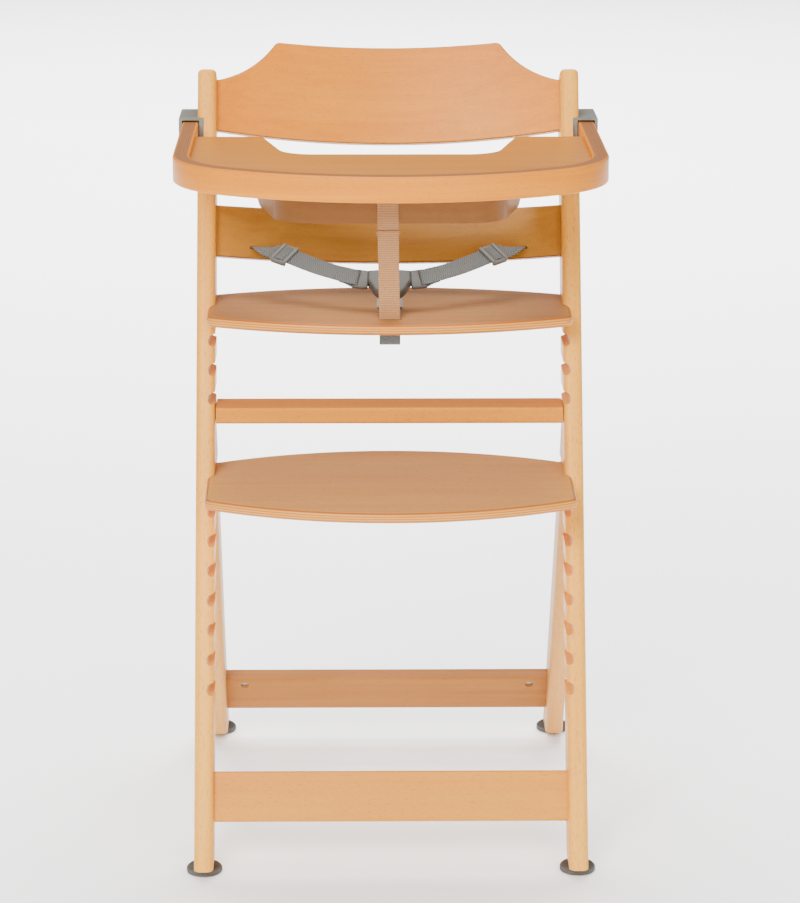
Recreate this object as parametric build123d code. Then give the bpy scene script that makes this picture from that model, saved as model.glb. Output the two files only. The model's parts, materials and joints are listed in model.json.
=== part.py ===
from build123d import *
from math import asin, atan2, cos, radians, sin, sqrt
import os

# Wooden high chair. Two side frames, each an upright that leans back and a rear
# leg that leans forward, carry a seat, a footrest, two bent backrests and a tray.
#
# Millimetres. X is across the chair, +X on the right seen from the front.
# -Y is the front, +Z is up, and the feet stand on Z = 0. While the pieces are
# made, Y = 0 is the front line of the uprights carried down to the floor. The
# export moves everything so that the origin is the middle of the footprint.

# ---------------------------------------------------------------- side frames
UPRIGHT_LEAN = 23.14        # degrees, top leans back
REAR_LEG_LEAN = 30.5        # degrees, top leans forward
BOARD_T = 23.0              # side-frame boards, thickness along X
BOARD_W = 60.0              # side-frame boards, width
FRAME_W = 470.0             # over the outer faces of the side frames
UPRIGHT_L = 995.0           # front edge of an upright, from the floor line
REAR_REACH = 564.5          # from Y = 0 to the back of a rear leg, at its foot
EDGE_R = 8.0                # rounding of the long edges
TOP_R = 5.0                 # rounding of the upright's top end

# ---------------------------------------------------------------- feet
FOOT_D = 42.5
FOOT_T = 8.0
FOOT_GAP = 3.0              # between a foot disc and the end of its leg
FOOT_RIBS = 36
FOOT_RIB_R = 0.8
STUD_D = 8.0
STUD_L = 21.0               # above the disc
INSERT_D = 11.0
INSERT_L = 18.0
INSERT_HOLE_SPARE = 2.0     # hole beyond the insert
REAR_STUD_SETBACK = 50.0    # from a rear leg's front edge to its stud, at the foot

# ---------------------------------------------------------------- grooves
GROOVE_PLAY = 1.0           # groove height over the plates' thickness
GROOVE_DEPTH = 9.0
GROOVE_PITCH = 33.0
SEAT_Z = 634.0              # centre of the seat's groove, the highest of its set
SEAT_GROOVES = 4
FOOTREST_Z = 441.0          # centre of the footrest's groove, the highest of its set
FOOTREST_GROOVES = 8

# ---------------------------------------------------------------- plates
PLATE_T = 13.0
PLATE_EDGE_R = 5.5
PLATE_CORNER_R = 15.0
PLATE_PLAY = 0.5            # between a plate's end and the bottom of its groove
SEAT_FRONT = 163.0
SEAT_BACK = 391.0
SEAT_FRONT_BOW_R = 515.0
SEAT_BACK_BOW_R = 550.0
FOOTREST_FRONT = 24.5
FOOTREST_BACK = 319.5
FOOTREST_BOW_R = 425.0

# ---------------------------------------------------------------- cross rails
STRETCHER_H = 60.0
STRETCHER_T = 18.0
FRONT_STRETCHER_U = 72.5    # lower edge, measured along the uprights
FRONT_STRETCHER_V = 14.0    # front face behind the uprights' front face
REAR_STRETCHER_U = 27.0     # lower edge, measured along the rear legs
STRETCHER_EDGE_R = 2.5
CROSSBAR_H = 20.5
CROSSBAR_D = 50.0
CROSSBAR_Z = 504.0
CROSSBAR_SETBACK = 7.5      # behind the uprights' front edge at mid height
CROSSBAR_GAP = 1.0          # each end, closed when its bolts clamp the plates
CROSSBAR_EDGE_R = 3.0

# ---------------------------------------------------------------- backrests
PLY_T = 12.0
BEND_R = 620.0              # front face, hollow towards the sitter
BACK_END_V = 18.4           # front face at the ends, behind the uprights' front
BACK_EDGE_R = 2.0
LOWER_BACK_U = 762.5
LOWER_BACK_H = 65.5
LOWER_BACK_BOW = 0.8        # its long edges swell this much in the middle
UPPER_BACK_DROP = 9.5       # upper backrest's ends below the uprights' tops
UPPER_BACK_H = 64.1         # upper backrest at its ends
UPPER_BELLY = 8.0           # its lower edge hangs this much in the middle
UPPER_SHOULDER_RISE = 54.0  # shoulders above its ends
UPPER_SHOULDER_INSET = 73.0
UPPER_TOP_SAG = 3.2         # top edge's middle below its shoulders
UPPER_SHOULDER_R = 9.0
UPPER_CURVE_SAG = 8.5       # hollow of the curve from an end up to its shoulder
SLOT_INSET = 55.0           # centre of a strap slot from the end of the board
SLOT_PLAY = 3.0             # slot width over the strap's
SLOT_H = 3.6
SLOT_RISE = 13.5            # above the lower edge of the lower backrest

# ---------------------------------------------------------------- tray
RIM_TOP = 852.0
RIM_H = 30.0
RIM_T = 19.5
TRAY_FRONT = -28.5
TRAY_BOW_R = 380.0
TRAY_CORNER_R = 120.0
RIM_EDGE_R = 2.0
PANEL_DROP = 8.0
PANEL_T = 9.0
PANEL_BACK = 304.0
PANEL_LET_IN = 4.0          # depth of the groove that holds the panel in the rim
WAIST_SIDE = 99.3           # from the tray's side to the tummy cut-out, at its mouth
WAIST_TAPER = 30.0          # each side, from the mouth to the front corners
WAIST_FRONT = 175.0
WAIST_CORNER_R = 42.0
GUARD_T = 9.0
GUARD_H = 72.0
GUARD_HEEL_R = 38.0
GUARD_DOWEL_D = 5.0
GUARD_DOWEL_L = 12.0
GUARD_DOWEL_X = 60.0
GUARD_DOWEL_SETBACK = 50.0  # side dowels, in front of the panel's back edge
TRAY_SCREW_D = 3.5
TRAY_SCREW_DROP = 12.0      # below the panel

# ---------------------------------------------------------------- tray brackets
DADO_DEPTH = 8.0
BRACKET_SETBACK = 8.3       # behind the uprights' front edge, at the rim's mid height
BRACKET_L = 74.0
ARM_STOP = 15.0             # from an arm's end to the back of its bracket
BRACKET_INNER_T = 6.0
BRACKET_OUTER_T = 4.0
BRACKET_TOP_T = 3.0
BRACKET_FLOOR_T = 3.0
ARM_INNER_PLAY = 0.8
ARM_SIDE_PLAY = 0.75
ARM_TOP_PLAY = 2.0
ARM_LOW_PLAY = 1.0
BRACKET_FIT = 0.2           # between a bracket and the edges of its dado

# ---------------------------------------------------------------- tray latches
LATCH_INSET = 20.0          # latch in front of an arm's end
LATCH_TOOTH_D = 7.0
LATCH_TOOTH_RISE = 3.0      # above the underside of the arm
LATCH_NOTCH_W = 9.0
LATCH_NOTCH_H = 5.0
LATCH_COLLAR_D = 12.0
LATCH_COLLAR_T = 2.2
LATCH_BOX_H = 13.0
LATCH_BOX_W = 16.5
LATCH_KNOB_D = 15.0
LATCH_KNOB_T = 5.0
LATCH_PLAY = 0.3
SPRING_WIRE_D = 0.7

# ---------------------------------------------------------------- harness
STRAP_W = 25.0
STRAP_T = 1.8
BUCKLE_RISE = 33.5          # above the seat
BUCKLE_TILT = 33.4          # degrees, face leans back from straight up
BUCKLE_T = 13.0
BUCKLE_R = 20.5
BUCKLE_ARM_W = 27.0
BUCKLE_ARM_L = 27.0
BUCKLE_CORNER_R = 3.0
TONGUE_ANGLE = 10.0         # degrees above the buckle's own X axis
TONGUE_L = 17.0
TONGUE_W = 29.0
TONGUE_T = 4.0
TONGUE_GAP = 5.2            # clears the strap's slanted end
BUTTON_D = 20.0
BUTTON_T = 6.0
BUTTON_PROUD = 1.5
BUTTON_TRAVEL = 2.5
BUTTON_PLAY = 0.3
SEAT_SLOT_Y = 200.0
SEAT_SLOT_H = 5.0
TAIL_L = 18.5               # loose end of the crotch strap under the seat
GLIDE_W = 33.0
GLIDE_L = 24.0
GLIDE_T = 6.0
GLIDE_WALL = 2.0
GLIDE_BAR = 4.0
GLIDE_PLACE = 36.0          # along the strap from the backrest slot
STRAP_TWIST_L = 20.0        # turn from the slot's level to the strap's own slope
TRAY_STRAP_X = -3.0
TRAY_STRAP_GAP = 0.7        # between its loose end and the seat
ADJUSTER_W = 31.0
ADJUSTER_L = 14.0

# ---------------------------------------------------------------- fasteners
BOLT_D = 6.0
BOLT_HOLE_D = 6.5
BOLT_HEAD_D = 11.0
BOLT_HEAD_T = 4.0
BOLT_SINK = 5.0
BOLT_REACH = 34.0           # past the inner face of a side frame
NUT_D = 10.0
NUT_L = 12.0
NUT_INSET = 24.5            # barrel nut behind the end of its rail
NUT_DROP = 12.5             # barrel nut below the top edge of a stretcher
DOWEL_D = 8.0
DOWEL_L = 32.0
DOWEL_RISE = 14.0           # above the lower edge of a stretcher
JOINT_DOWEL_DROPS = (26.0, 52.0)
SCREW_D = 4.5
SCREW_HEAD_D = 9.0
SCREW_HEAD_T = 3.0
BACK_SCREW_REACH = 14.0
BACK_SCREW_INSET = 14.0

# ---------------------------------------------------------------- derived
OUTER_X = FRAME_W / 2
INNER_X = OUTER_X - BOARD_T
LEG_Z = FOOT_T + FOOT_GAP
BIG = 2000.0

LEAN_SIN = sin(radians(UPRIGHT_LEAN))
LEAN_COS = cos(radians(UPRIGHT_LEAN))
REAR_SIN = sin(radians(REAR_LEG_LEAN))
REAR_COS = cos(radians(REAR_LEG_LEAN))
UPRIGHT_DEPTH = BOARD_W / LEAN_COS
REAR_LEG_DEPTH = BOARD_W / REAR_COS
REAR_FRONT = REAR_REACH - REAR_LEG_DEPTH

# Local frames: x across the chair, y backwards through the board, z up along it.
LEAN = Plane(origin=(0, 0, 0), x_dir=(1, 0, 0), z_dir=(0, LEAN_SIN, LEAN_COS))
REAR = Plane(origin=(0, REAR_FRONT, LEG_Z), x_dir=(1, 0, 0), z_dir=(0, -REAR_SIN, REAR_COS))

GROOVE_H = PLATE_T + GROOVE_PLAY
SEAT_TOP = SEAT_Z + PLATE_T / 2
TAIL_LOW = SEAT_Z - PLATE_T / 2 - TAIL_L
SLOT_X = INNER_X - SLOT_INSET
SLOT_W = STRAP_W + SLOT_PLAY

TILT = radians(BUCKLE_TILT)
BUCKLE_Z = SEAT_TOP + BUCKLE_RISE
BUCKLE_Y = SEAT_SLOT_Y + BUCKLE_RISE * cos(TILT) / sin(TILT)
HARNESS = Plane(origin=(0, BUCKLE_Y, BUCKLE_Z), x_dir=(1, 0, 0), z_dir=(0, -sin(TILT), cos(TILT)))

UPPER_END_TOP_U = UPRIGHT_L - UPPER_BACK_DROP
UPPER_END_LOW_U = UPPER_END_TOP_U - UPPER_BACK_H
UPPER_MID_LOW_U = UPPER_END_LOW_U - UPPER_BELLY
UPPER_SHOULDER_X = INNER_X - UPPER_SHOULDER_INSET
UPPER_SHOULDER_U = UPPER_END_TOP_U + UPPER_SHOULDER_RISE
UPPER_MID_TOP_U = UPPER_SHOULDER_U - UPPER_TOP_SAG

DADO_X = OUTER_X - DADO_DEPTH
BRACKET_INNER_X = DADO_X + BRACKET_INNER_T
TRAY_W = 2 * (BRACKET_INNER_X + ARM_INNER_PLAY + RIM_T)
WAIST_W = TRAY_W - 2 * WAIST_SIDE
WAIST_MID_W = WAIST_W - 2 * WAIST_TAPER
BRACKET_FRONT = (RIM_TOP - RIM_H / 2) * LEAN_SIN / LEAN_COS + BRACKET_SETBACK
BRACKET_BACK = BRACKET_FRONT + BRACKET_L
ARM_END = BRACKET_BACK - ARM_STOP
LATCH_Y = ARM_END - LATCH_INSET
BRACKET_OUTER_X = TRAY_W / 2 + ARM_SIDE_PLAY
BRACKET_X = BRACKET_OUTER_X + BRACKET_OUTER_T
BRACKET_TOP = RIM_TOP + ARM_TOP_PLAY + BRACKET_TOP_T
BRACKET_LOW = RIM_TOP - RIM_H - ARM_LOW_PLAY - BRACKET_FLOOR_T
LATCH_X = (OUTER_X + 0.5 + BRACKET_OUTER_X) / 2
PANEL_TOP = RIM_TOP - PANEL_DROP
PANEL_LOW = PANEL_TOP - PANEL_T
GUARD_LOW = PANEL_LOW - GUARD_H

FRONT_FOOT_Y = LEG_Z * LEAN_SIN / LEAN_COS + UPRIGHT_DEPTH / 2
REAR_FOOT_Y = REAR_FRONT + REAR_STUD_SETBACK
REAR_END = max(REAR_FOOT_Y + FOOT_D / 2, REAR_REACH)
MID_Y = (TRAY_FRONT + REAR_END) / 2

GROOVE_Z = [SEAT_Z - GROOVE_PITCH * i for i in range(SEAT_GROOVES)]
GROOVE_Z += [FOOTREST_Z - GROOVE_PITCH * i for i in range(FOOTREST_GROOVES)]
CROSSBAR_MID = CROSSBAR_Z + CROSSBAR_H / 2
CROSSBAR_Y = CROSSBAR_MID * LEAN_SIN / LEAN_COS + CROSSBAR_SETBACK + CROSSBAR_D / 2
BEND_CENTRE_V = BACK_END_V - sqrt(BEND_R ** 2 - INNER_X ** 2)


def lean_point(x, v, u):
    """World point of a place given across, behind and along the uprights."""
    return Vector(x, u * LEAN_SIN + v * LEAN_COS, u * LEAN_COS - v * LEAN_SIN)


def bend_v(x):
    """Front face of the bent plywood, behind the uprights' front face."""
    return BEND_CENTRE_V + sqrt(BEND_R ** 2 - x ** 2)


def bend_back_v(x):
    """Back face of the bent plywood, behind the uprights' front face."""
    return BEND_CENTRE_V + sqrt((BEND_R + PLY_T) ** 2 - x ** 2)


def block(x0, x1, y0, y1, z0, z1):
    """Box between two corners."""
    middle = ((x0 + x1) / 2, (y0 + y1) / 2, (z0 + z1) / 2)
    return Pos(*middle) * Box(x1 - x0, y1 - y0, z1 - z0)


def rod(diameter, start, end):
    """Round bar between two points."""
    a = Vector(*start)
    run = Vector(*end) - a
    plane = Plane(origin=a, z_dir=run)
    return plane * Cylinder(diameter / 2, run.length, align=(Align.CENTER, Align.CENTER, Align.MIN))


def on_side(shape, side):
    """A piece made for +X, as it is, or mirrored to -X."""
    return shape if side > 0 else mirror(shape, about=Plane.YZ)


def both(shape):
    """A piece made for +X and its mirror, as two solids of one group."""
    return [shape, mirror(shape, about=Plane.YZ)]


def coil(diameter, wire, length, turns):
    """Compression spring along +Z from the origin."""
    path = Helix(pitch=length / turns, height=length, radius=diameter / 2)
    profile = Plane(origin=path @ 0, z_dir=path % 0) * Circle(wire / 2)
    return sweep(profile, path=path)


# ---------------------------------------------------------------- side frames
def groove(z, y0, y1):
    """Cutter for a round-bottomed groove in the inner face of a +X board."""
    radius = GROOVE_H / 2
    centre_x = INNER_X + GROOVE_DEPTH - radius
    bottom = rod(GROOVE_H, (centre_x, y0, z), (centre_x, y1, z))
    return bottom + block(INNER_X - 1, centre_x, y0, y1, z - radius, z + radius)


def side_bolt_holes(y, z):
    """Clearance hole and head recess through a +X board, along X."""
    hole = rod(BOLT_HOLE_D, (INNER_X - 1, y, z), (OUTER_X + 1, y, z))
    return hole + rod(BOLT_HEAD_D + 0.5, (OUTER_X - BOLT_SINK, y, z), (OUTER_X + 1, y, z))


def upright(side):
    """Front post of a side frame."""
    board = block(INNER_X, OUTER_X, 0, BOARD_W, -BOARD_W, UPRIGHT_L)
    board = fillet(board.edges().filter_by(Axis.Z), EDGE_R)
    board = fillet(board.faces().sort_by(Axis.Z)[-1].edges(), TOP_R)
    board = LEAN * board
    cuts = [block(0, BIG, -BIG, BIG, -BIG, LEG_Z)]
    for z in GROOVE_Z:
        front = z * LEAN_SIN / LEAN_COS
        cuts.append(groove(z, front - GROOVE_H, front + UPRIGHT_DEPTH + GROOVE_H))
    cuts.append(block(DADO_X, BIG, 0, BIG, BRACKET_LOW - BRACKET_FIT, BRACKET_TOP + BRACKET_FIT))
    cuts += [side_bolt_holes(*at) for at in upright_bolts()]
    y, z = front_dowel()
    cuts.append(rod(DOWEL_D, (INNER_X - 1, y, z), (INNER_X + DOWEL_L / 2, y, z)))
    cuts += joint_dowel_list()
    cuts += [backrest_screw(u) for u in backrest_screw_heights()]
    cuts += bracket_screw_list()
    cuts.append(foot_insert_outer(FRONT_FOOT_Y))
    return on_side(board - cuts, side)


def rear_leg(side):
    """Back leg of a side frame, mitred against the back edge of the upright."""
    board = block(INNER_X, OUTER_X, 0, BOARD_W, -BOARD_W, UPRIGHT_L)
    board = REAR * fillet(board.edges().filter_by(Axis.Z), EDGE_R)
    y, z = rear_dowel()
    cuts = [
        block(0, BIG, -BIG, BIG, -BIG, LEG_Z),
        LEAN * block(0, BIG, -BIG, BOARD_W, -BIG, BIG),
        groove(FOOTREST_Z, 0, FOOTREST_BACK + GROOVE_H),
        side_bolt_holes(*rear_bolt()),
        rod(DOWEL_D, (INNER_X - 1, y, z), (INNER_X + DOWEL_L / 2, y, z)),
        foot_insert_outer(REAR_FOOT_Y),
    ]
    return on_side(board - cuts - joint_dowel_list(), side)


def joint_dowel_list():
    """Dowels across one +X mitre between an upright and its rear leg."""
    # The leg's back edge line and the upright's back plane meet at the joint's top.
    slope = LEAN_SIN / LEAN_COS + REAR_SIN / REAR_COS
    top_z = (REAR_REACH + LEG_Z * REAR_SIN / REAR_COS - UPRIGHT_DEPTH) / slope
    top_u = (top_z + BOARD_W * LEAN_SIN) / LEAN_COS
    x = INNER_X + BOARD_T / 2
    half = DOWEL_L / 2
    dowels = []
    for drop in JOINT_DOWEL_DROPS:
        u = top_u - drop
        start = lean_point(x, BOARD_W - half, u)
        dowels.append(rod(DOWEL_D, start, lean_point(x, BOARD_W + half, u)))
    return dowels


# ---------------------------------------------------------------- rails
def front_stretcher():
    """Board between the uprights near the floor."""
    v0, u0 = FRONT_STRETCHER_V, FRONT_STRETCHER_U
    board = block(-INNER_X, INNER_X, v0, v0 + STRETCHER_T, u0, u0 + STRETCHER_H)
    board = LEAN * fillet(board.edges().filter_by(Axis.X), STRETCHER_EDGE_R)
    y, z = front_dowel()
    return board - rail_cuts(front_bolt(), (y, z), LEAN, 1)


def rear_stretcher():
    """Board between the rear legs, set in the middle of their width."""
    v0 = (BOARD_W - STRETCHER_T) / 2
    board = block(-INNER_X, INNER_X, v0, v0 + STRETCHER_T, REAR_STRETCHER_U,
                  REAR_STRETCHER_U + STRETCHER_H)
    board = REAR * fillet(board.edges().filter_by(Axis.X), STRETCHER_EDGE_R)
    return board - rail_cuts(rear_bolt(), rear_dowel(), REAR, -1)


def rail_cuts(bolt_at, dowel_at, plane, nut_side):
    """Bolt, barrel-nut and dowel holes in both ends of a stretcher."""
    y, z = bolt_at
    cuts = both(rod(BOLT_HOLE_D, (INNER_X - BOLT_REACH - 2, y, z), (INNER_X + 1, y, z)))
    cuts += both(nut_hole(bolt_at, plane, nut_side))
    y, z = dowel_at
    cuts += both(rod(DOWEL_D, (INNER_X - DOWEL_L / 2, y, z), (INNER_X + 1, y, z)))
    return cuts


def nut_hole(at, plane, side):
    """Blind hole for a +X barrel nut, open on the rail's front (-1) or back (1)."""
    inward = plane.y_dir * side
    centre = Vector(INNER_X - NUT_INSET, *at)
    return rod(NUT_D, centre - inward * (NUT_L / 2), centre + inward * STRETCHER_T)


def middle_crossbar():
    """Level bar between the uprights under the seat, drawn in by its bolts."""
    end = INNER_X - CROSSBAR_GAP
    half = CROSSBAR_D / 2
    bar = block(-end, end, CROSSBAR_Y - half, CROSSBAR_Y + half, CROSSBAR_Z,
                CROSSBAR_Z + CROSSBAR_H)
    bar = fillet(bar.edges().filter_by(Axis.X), CROSSBAR_EDGE_R)
    y, z = crossbar_bolt()
    cuts = both(rod(BOLT_HOLE_D, (end - BOLT_REACH - 2, y, z), (end + 1, y, z)))
    centre = Vector(INNER_X - NUT_INSET, y, z)
    # Blind from below, so the top of the bar stays whole.
    cuts += both(rod(NUT_D, centre + Vector(0, 0, NUT_L / 2), centre - Vector(0, 0, CROSSBAR_H)))
    return bar - cuts


def front_bolt():
    """Y and Z of the front stretcher's bolts."""
    u = FRONT_STRETCHER_U + STRETCHER_H - NUT_DROP
    point = lean_point(0, FRONT_STRETCHER_V + STRETCHER_T / 2, u)
    return point.Y, point.Z


def front_dowel():
    """Y and Z of the front stretcher's dowels."""
    u = FRONT_STRETCHER_U + DOWEL_RISE
    point = lean_point(0, FRONT_STRETCHER_V + STRETCHER_T / 2, u)
    return point.Y, point.Z


def rear_bolt():
    """Y and Z of the rear stretcher's bolts."""
    point = REAR.from_local_coords(Vector(0, BOARD_W / 2, REAR_STRETCHER_U + STRETCHER_H - NUT_DROP))
    return point.Y, point.Z


def rear_dowel():
    """Y and Z of the rear stretcher's dowels."""
    point = REAR.from_local_coords(Vector(0, BOARD_W / 2, REAR_STRETCHER_U + DOWEL_RISE))
    return point.Y, point.Z


def crossbar_bolt():
    """Y and Z of the crossbar's bolts."""
    return CROSSBAR_Y, CROSSBAR_MID


def upright_bolts():
    """Y and Z of every bolt that passes through an upright."""
    return [front_bolt(), crossbar_bolt()]


# ---------------------------------------------------------------- backrests
def bent_board(outline, low_u, high_u):
    """Plywood of the given outline, bent to the backrests' radius."""
    sector = make_face([
        ThreePointArc((-INNER_X, bend_v(INNER_X)), (0, bend_v(0)), (INNER_X, bend_v(INNER_X))),
        Line((INNER_X, bend_v(INNER_X)), (INNER_X, bend_back_v(INNER_X))),
        ThreePointArc((INNER_X, bend_back_v(INNER_X)), (0, bend_back_v(0)),
                      (-INNER_X, bend_back_v(INNER_X))),
        Line((-INNER_X, bend_back_v(INNER_X)), (-INNER_X, bend_v(INNER_X))),
    ])
    prism = extrude(Plane.XZ * outline, amount=-BOARD_W * 2)
    board = extrude(Pos(0, 0, low_u - 1) * sector, amount=high_u - low_u + 2) & prism
    edges = [edge for face in board.faces().filter_by(GeomType.CYLINDER).sort_by(SortBy.AREA)[-2:]
             for edge in face.edges() if not on_end(edge)]
    return LEAN * fillet(edges, BACK_EDGE_R)


def on_end(edge):
    """True for an edge that lies against an upright."""
    return abs(abs(edge.center().X) - INNER_X) < 1e-3


def upper_outline():
    """Upper backrest seen square to the uprights, x across and y along them."""
    chord = Vector(UPPER_SHOULDER_X - INNER_X, UPPER_SHOULDER_U - UPPER_END_TOP_U)
    normal = Vector(-chord.Y, chord.X).normalized()
    middle = Vector(INNER_X, UPPER_END_TOP_U) + chord / 2 + normal * UPPER_CURVE_SAG
    lines = []
    for side in (1, -1):
        lines.append(ThreePointArc((side * INNER_X, UPPER_END_TOP_U),
                                   (side * middle.X, middle.Y),
                                   (side * UPPER_SHOULDER_X, UPPER_SHOULDER_U)))
        lines.append(Line((side * INNER_X, UPPER_END_LOW_U), (side * INNER_X, UPPER_END_TOP_U)))
    lines.append(ThreePointArc((-UPPER_SHOULDER_X, UPPER_SHOULDER_U), (0, UPPER_MID_TOP_U),
                               (UPPER_SHOULDER_X, UPPER_SHOULDER_U)))
    lines.append(ThreePointArc((-INNER_X, UPPER_END_LOW_U), (0, UPPER_MID_LOW_U),
                               (INNER_X, UPPER_END_LOW_U)))
    face = make_face(lines)
    shoulders = face.vertices().filter_by(lambda v: abs(abs(v.X) - UPPER_SHOULDER_X) < 1e-3)
    return fillet(shoulders, UPPER_SHOULDER_R)


def upper_backrest():
    """Shaped backrest at the top of the uprights."""
    board = bent_board(upper_outline(), UPPER_MID_LOW_U, UPPER_SHOULDER_U)
    return board - screw_cuts(upper_screw_heights())


def lower_backrest():
    """Plain backrest over the seat, with the two slots for the lap straps."""
    low, high = LOWER_BACK_U, LOWER_BACK_U + LOWER_BACK_H
    end_low, end_high = low + LOWER_BACK_BOW, high - LOWER_BACK_BOW
    outline = make_face([
        ThreePointArc((-INNER_X, end_low), (0, low), (INNER_X, end_low)),
        Line((INNER_X, end_low), (INNER_X, end_high)),
        ThreePointArc((INNER_X, end_high), (0, high), (-INNER_X, end_high)),
        Line((-INNER_X, end_high), (-INNER_X, end_low)),
    ])
    board = bent_board(outline, low, high)
    u = LOWER_BACK_U + SLOT_RISE
    slot = extrude(Plane.XZ * Pos(SLOT_X, u) * SlotOverall(SLOT_W, SLOT_H), amount=-BOARD_W * 2)
    slot = LEAN * slot
    return board - both(slot) - screw_cuts(lower_screw_heights())


def lower_screw_heights():
    """Heights of the lower backrest's screws along the uprights."""
    high = LOWER_BACK_U + LOWER_BACK_H - BACK_SCREW_INSET
    return [LOWER_BACK_U + BACK_SCREW_INSET, high]


def upper_screw_heights():
    """Heights of the upper backrest's screws along the uprights."""
    clear_z = BRACKET_TOP + SCREW_HEAD_D + (BACK_END_V + PLY_T) * LEAN_SIN
    low = max(clear_z / LEAN_COS, UPPER_END_LOW_U + BACK_SCREW_INSET)
    return [low, UPPER_END_TOP_U - BACK_SCREW_INSET]


def backrest_screw_heights():
    """Heights of all the backrest screws."""
    return lower_screw_heights() + upper_screw_heights()


def backrest_screw(u):
    """Screw through a +X upright into the end of a backrest."""
    inner_x = INNER_X - BACK_SCREW_REACH
    v = (bend_v(INNER_X) + bend_v(inner_x) + PLY_T) / 2
    head_x = OUTER_X - SCREW_HEAD_T
    point = lean_point(0, v, u)
    shank = rod(SCREW_D, (inner_x, point.Y, point.Z), (head_x + 1, point.Y, point.Z))
    head_end = (head_x + SCREW_HEAD_T, point.Y, point.Z)
    return shank + rod(SCREW_HEAD_D, (head_x, point.Y, point.Z), head_end)


def screw_cuts(heights):
    """The screws of one backrest, both sides, as cutters."""
    return [solid for u in heights for solid in both(backrest_screw(u))]


# ---------------------------------------------------------------- plates
def plate(front, back, front_bow, back_bow, z):
    """Plate with bowed front and back edges and ends that fit the grooves."""
    half = INNER_X + GROOVE_DEPTH - PLATE_PLAY
    bow_front = front + front_bow - sqrt(front_bow ** 2 - half ** 2)
    bow_back = back - back_bow + sqrt(back_bow ** 2 - half ** 2)
    face = make_face([
        ThreePointArc((-half, bow_front), (0, front), (half, bow_front)),
        Line((half, bow_front), (half, bow_back)),
        ThreePointArc((half, bow_back), (0, back), (-half, bow_back)),
        Line((-half, bow_back), (-half, bow_front)),
    ])
    face = fillet(face.vertices(), PLATE_CORNER_R)
    board = extrude(Pos(0, 0, z - PLATE_T / 2) * face, amount=PLATE_T)
    rims = board.faces().sort_by(Axis.Z)
    return fillet(rims[0].edges() + rims[-1].edges(), PLATE_EDGE_R)


def seat_plate():
    """Seat, with the slot that the crotch straps pass through."""
    board = plate(SEAT_FRONT, SEAT_BACK, SEAT_FRONT_BOW_R, SEAT_BACK_BOW_R, SEAT_Z)
    slot = Pos(0, SEAT_SLOT_Y, SEAT_Z) * Box(SLOT_W + 1, SEAT_SLOT_H, PLATE_T * 2)
    return board - fillet(slot.edges().filter_by(Axis.Z), SEAT_SLOT_H * 0.45)


def footrest_plate():
    """Footrest."""
    return plate(FOOTREST_FRONT, FOOTREST_BACK, FOOTREST_BOW_R, FOOTREST_BOW_R, FOOTREST_Z)


# ---------------------------------------------------------------- tray
def tray_plan(inset):
    """Closed plan of the tray's outer edge, moved inwards by inset."""
    half = TRAY_W / 2 - inset
    bow = TRAY_BOW_R - inset
    corner = TRAY_CORNER_R - inset
    bow_y = TRAY_FRONT + TRAY_BOW_R
    corner_x = TRAY_W / 2 - TRAY_CORNER_R
    reach = TRAY_BOW_R - TRAY_CORNER_R
    corner_y = bow_y - sqrt(reach ** 2 - corner_x ** 2)
    meet_x = corner_x * bow / reach
    meet_y = bow_y - (bow_y - corner_y) * bow / reach
    turn = asin(corner_x / reach) / 2 + radians(45)
    mid_x = corner_x + corner * sin(turn)
    mid_y = corner_y - corner * cos(turn)
    lines = [
        ThreePointArc((-meet_x, meet_y), (0, bow_y - bow), (meet_x, meet_y)),
        Line((-half, ARM_END), (half, ARM_END)),
    ]
    for side in (1, -1):
        lines.append(ThreePointArc((side * meet_x, meet_y), (side * mid_x, mid_y),
                                   (side * half, corner_y)))
        lines.append(Line((side * half, corner_y), (side * half, ARM_END)))
    return make_face(lines)


def waist(grow):
    """Plan of the tummy cut-out, open to the back, made wider by grow."""
    lean = atan2((WAIST_W - WAIST_MID_W) / 2, PANEL_BACK - WAIST_FRONT)
    mouth = WAIST_W / 2 + grow / cos(lean)
    slope = (WAIST_W - WAIST_MID_W) / 2 / (PANEL_BACK - WAIST_FRONT)
    back = PANEL_BACK + BIG / 10
    front = WAIST_FRONT - grow
    wide = mouth + slope * (back - PANEL_BACK)
    narrow = mouth - slope * (PANEL_BACK - front)
    face = make_face(Polyline((-wide, back), (-narrow, front), (narrow, front), (wide, back),
                              close=True))
    corners = face.vertices().filter_by(lambda v: v.Y < front + 1)
    return fillet(corners, WAIST_CORNER_R + grow)


def tray_panel():
    """Flat panel let into the rim, with the tummy cut-out."""
    face = tray_plan(RIM_T - PANEL_LET_IN) & Pos(0, PANEL_BACK - BIG / 2) * Rectangle(BIG, BIG)
    face = face - waist(0)
    return extrude(Pos(0, 0, PANEL_LOW) * face, amount=PANEL_T) - guard_dowels()


def tray_rim():
    """Laminated rim that runs from one arm round the front to the other."""
    low = RIM_TOP - RIM_H
    outer = extrude(Pos(0, 0, low) * tray_plan(0), amount=RIM_H)
    inner = extrude(Pos(0, 0, low - 1) * tray_plan(RIM_T), amount=RIM_H + 2)
    rim = outer - inner
    edges = rim.edges().filter_by_position(Axis.Z, RIM_TOP - 0.01, RIM_TOP + 0.01)
    edges += rim.edges().filter_by_position(Axis.Z, low - 0.01, low + 0.01)
    rim = fillet(edges, RIM_EDGE_R)
    notch = block(LATCH_X - LATCH_NOTCH_W / 2, LATCH_X + LATCH_NOTCH_W / 2,
                  LATCH_Y - LATCH_NOTCH_W / 2, ARM_END + 1, low - 1, low + LATCH_NOTCH_H)
    return rim - tray_panel() - both(notch)


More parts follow.
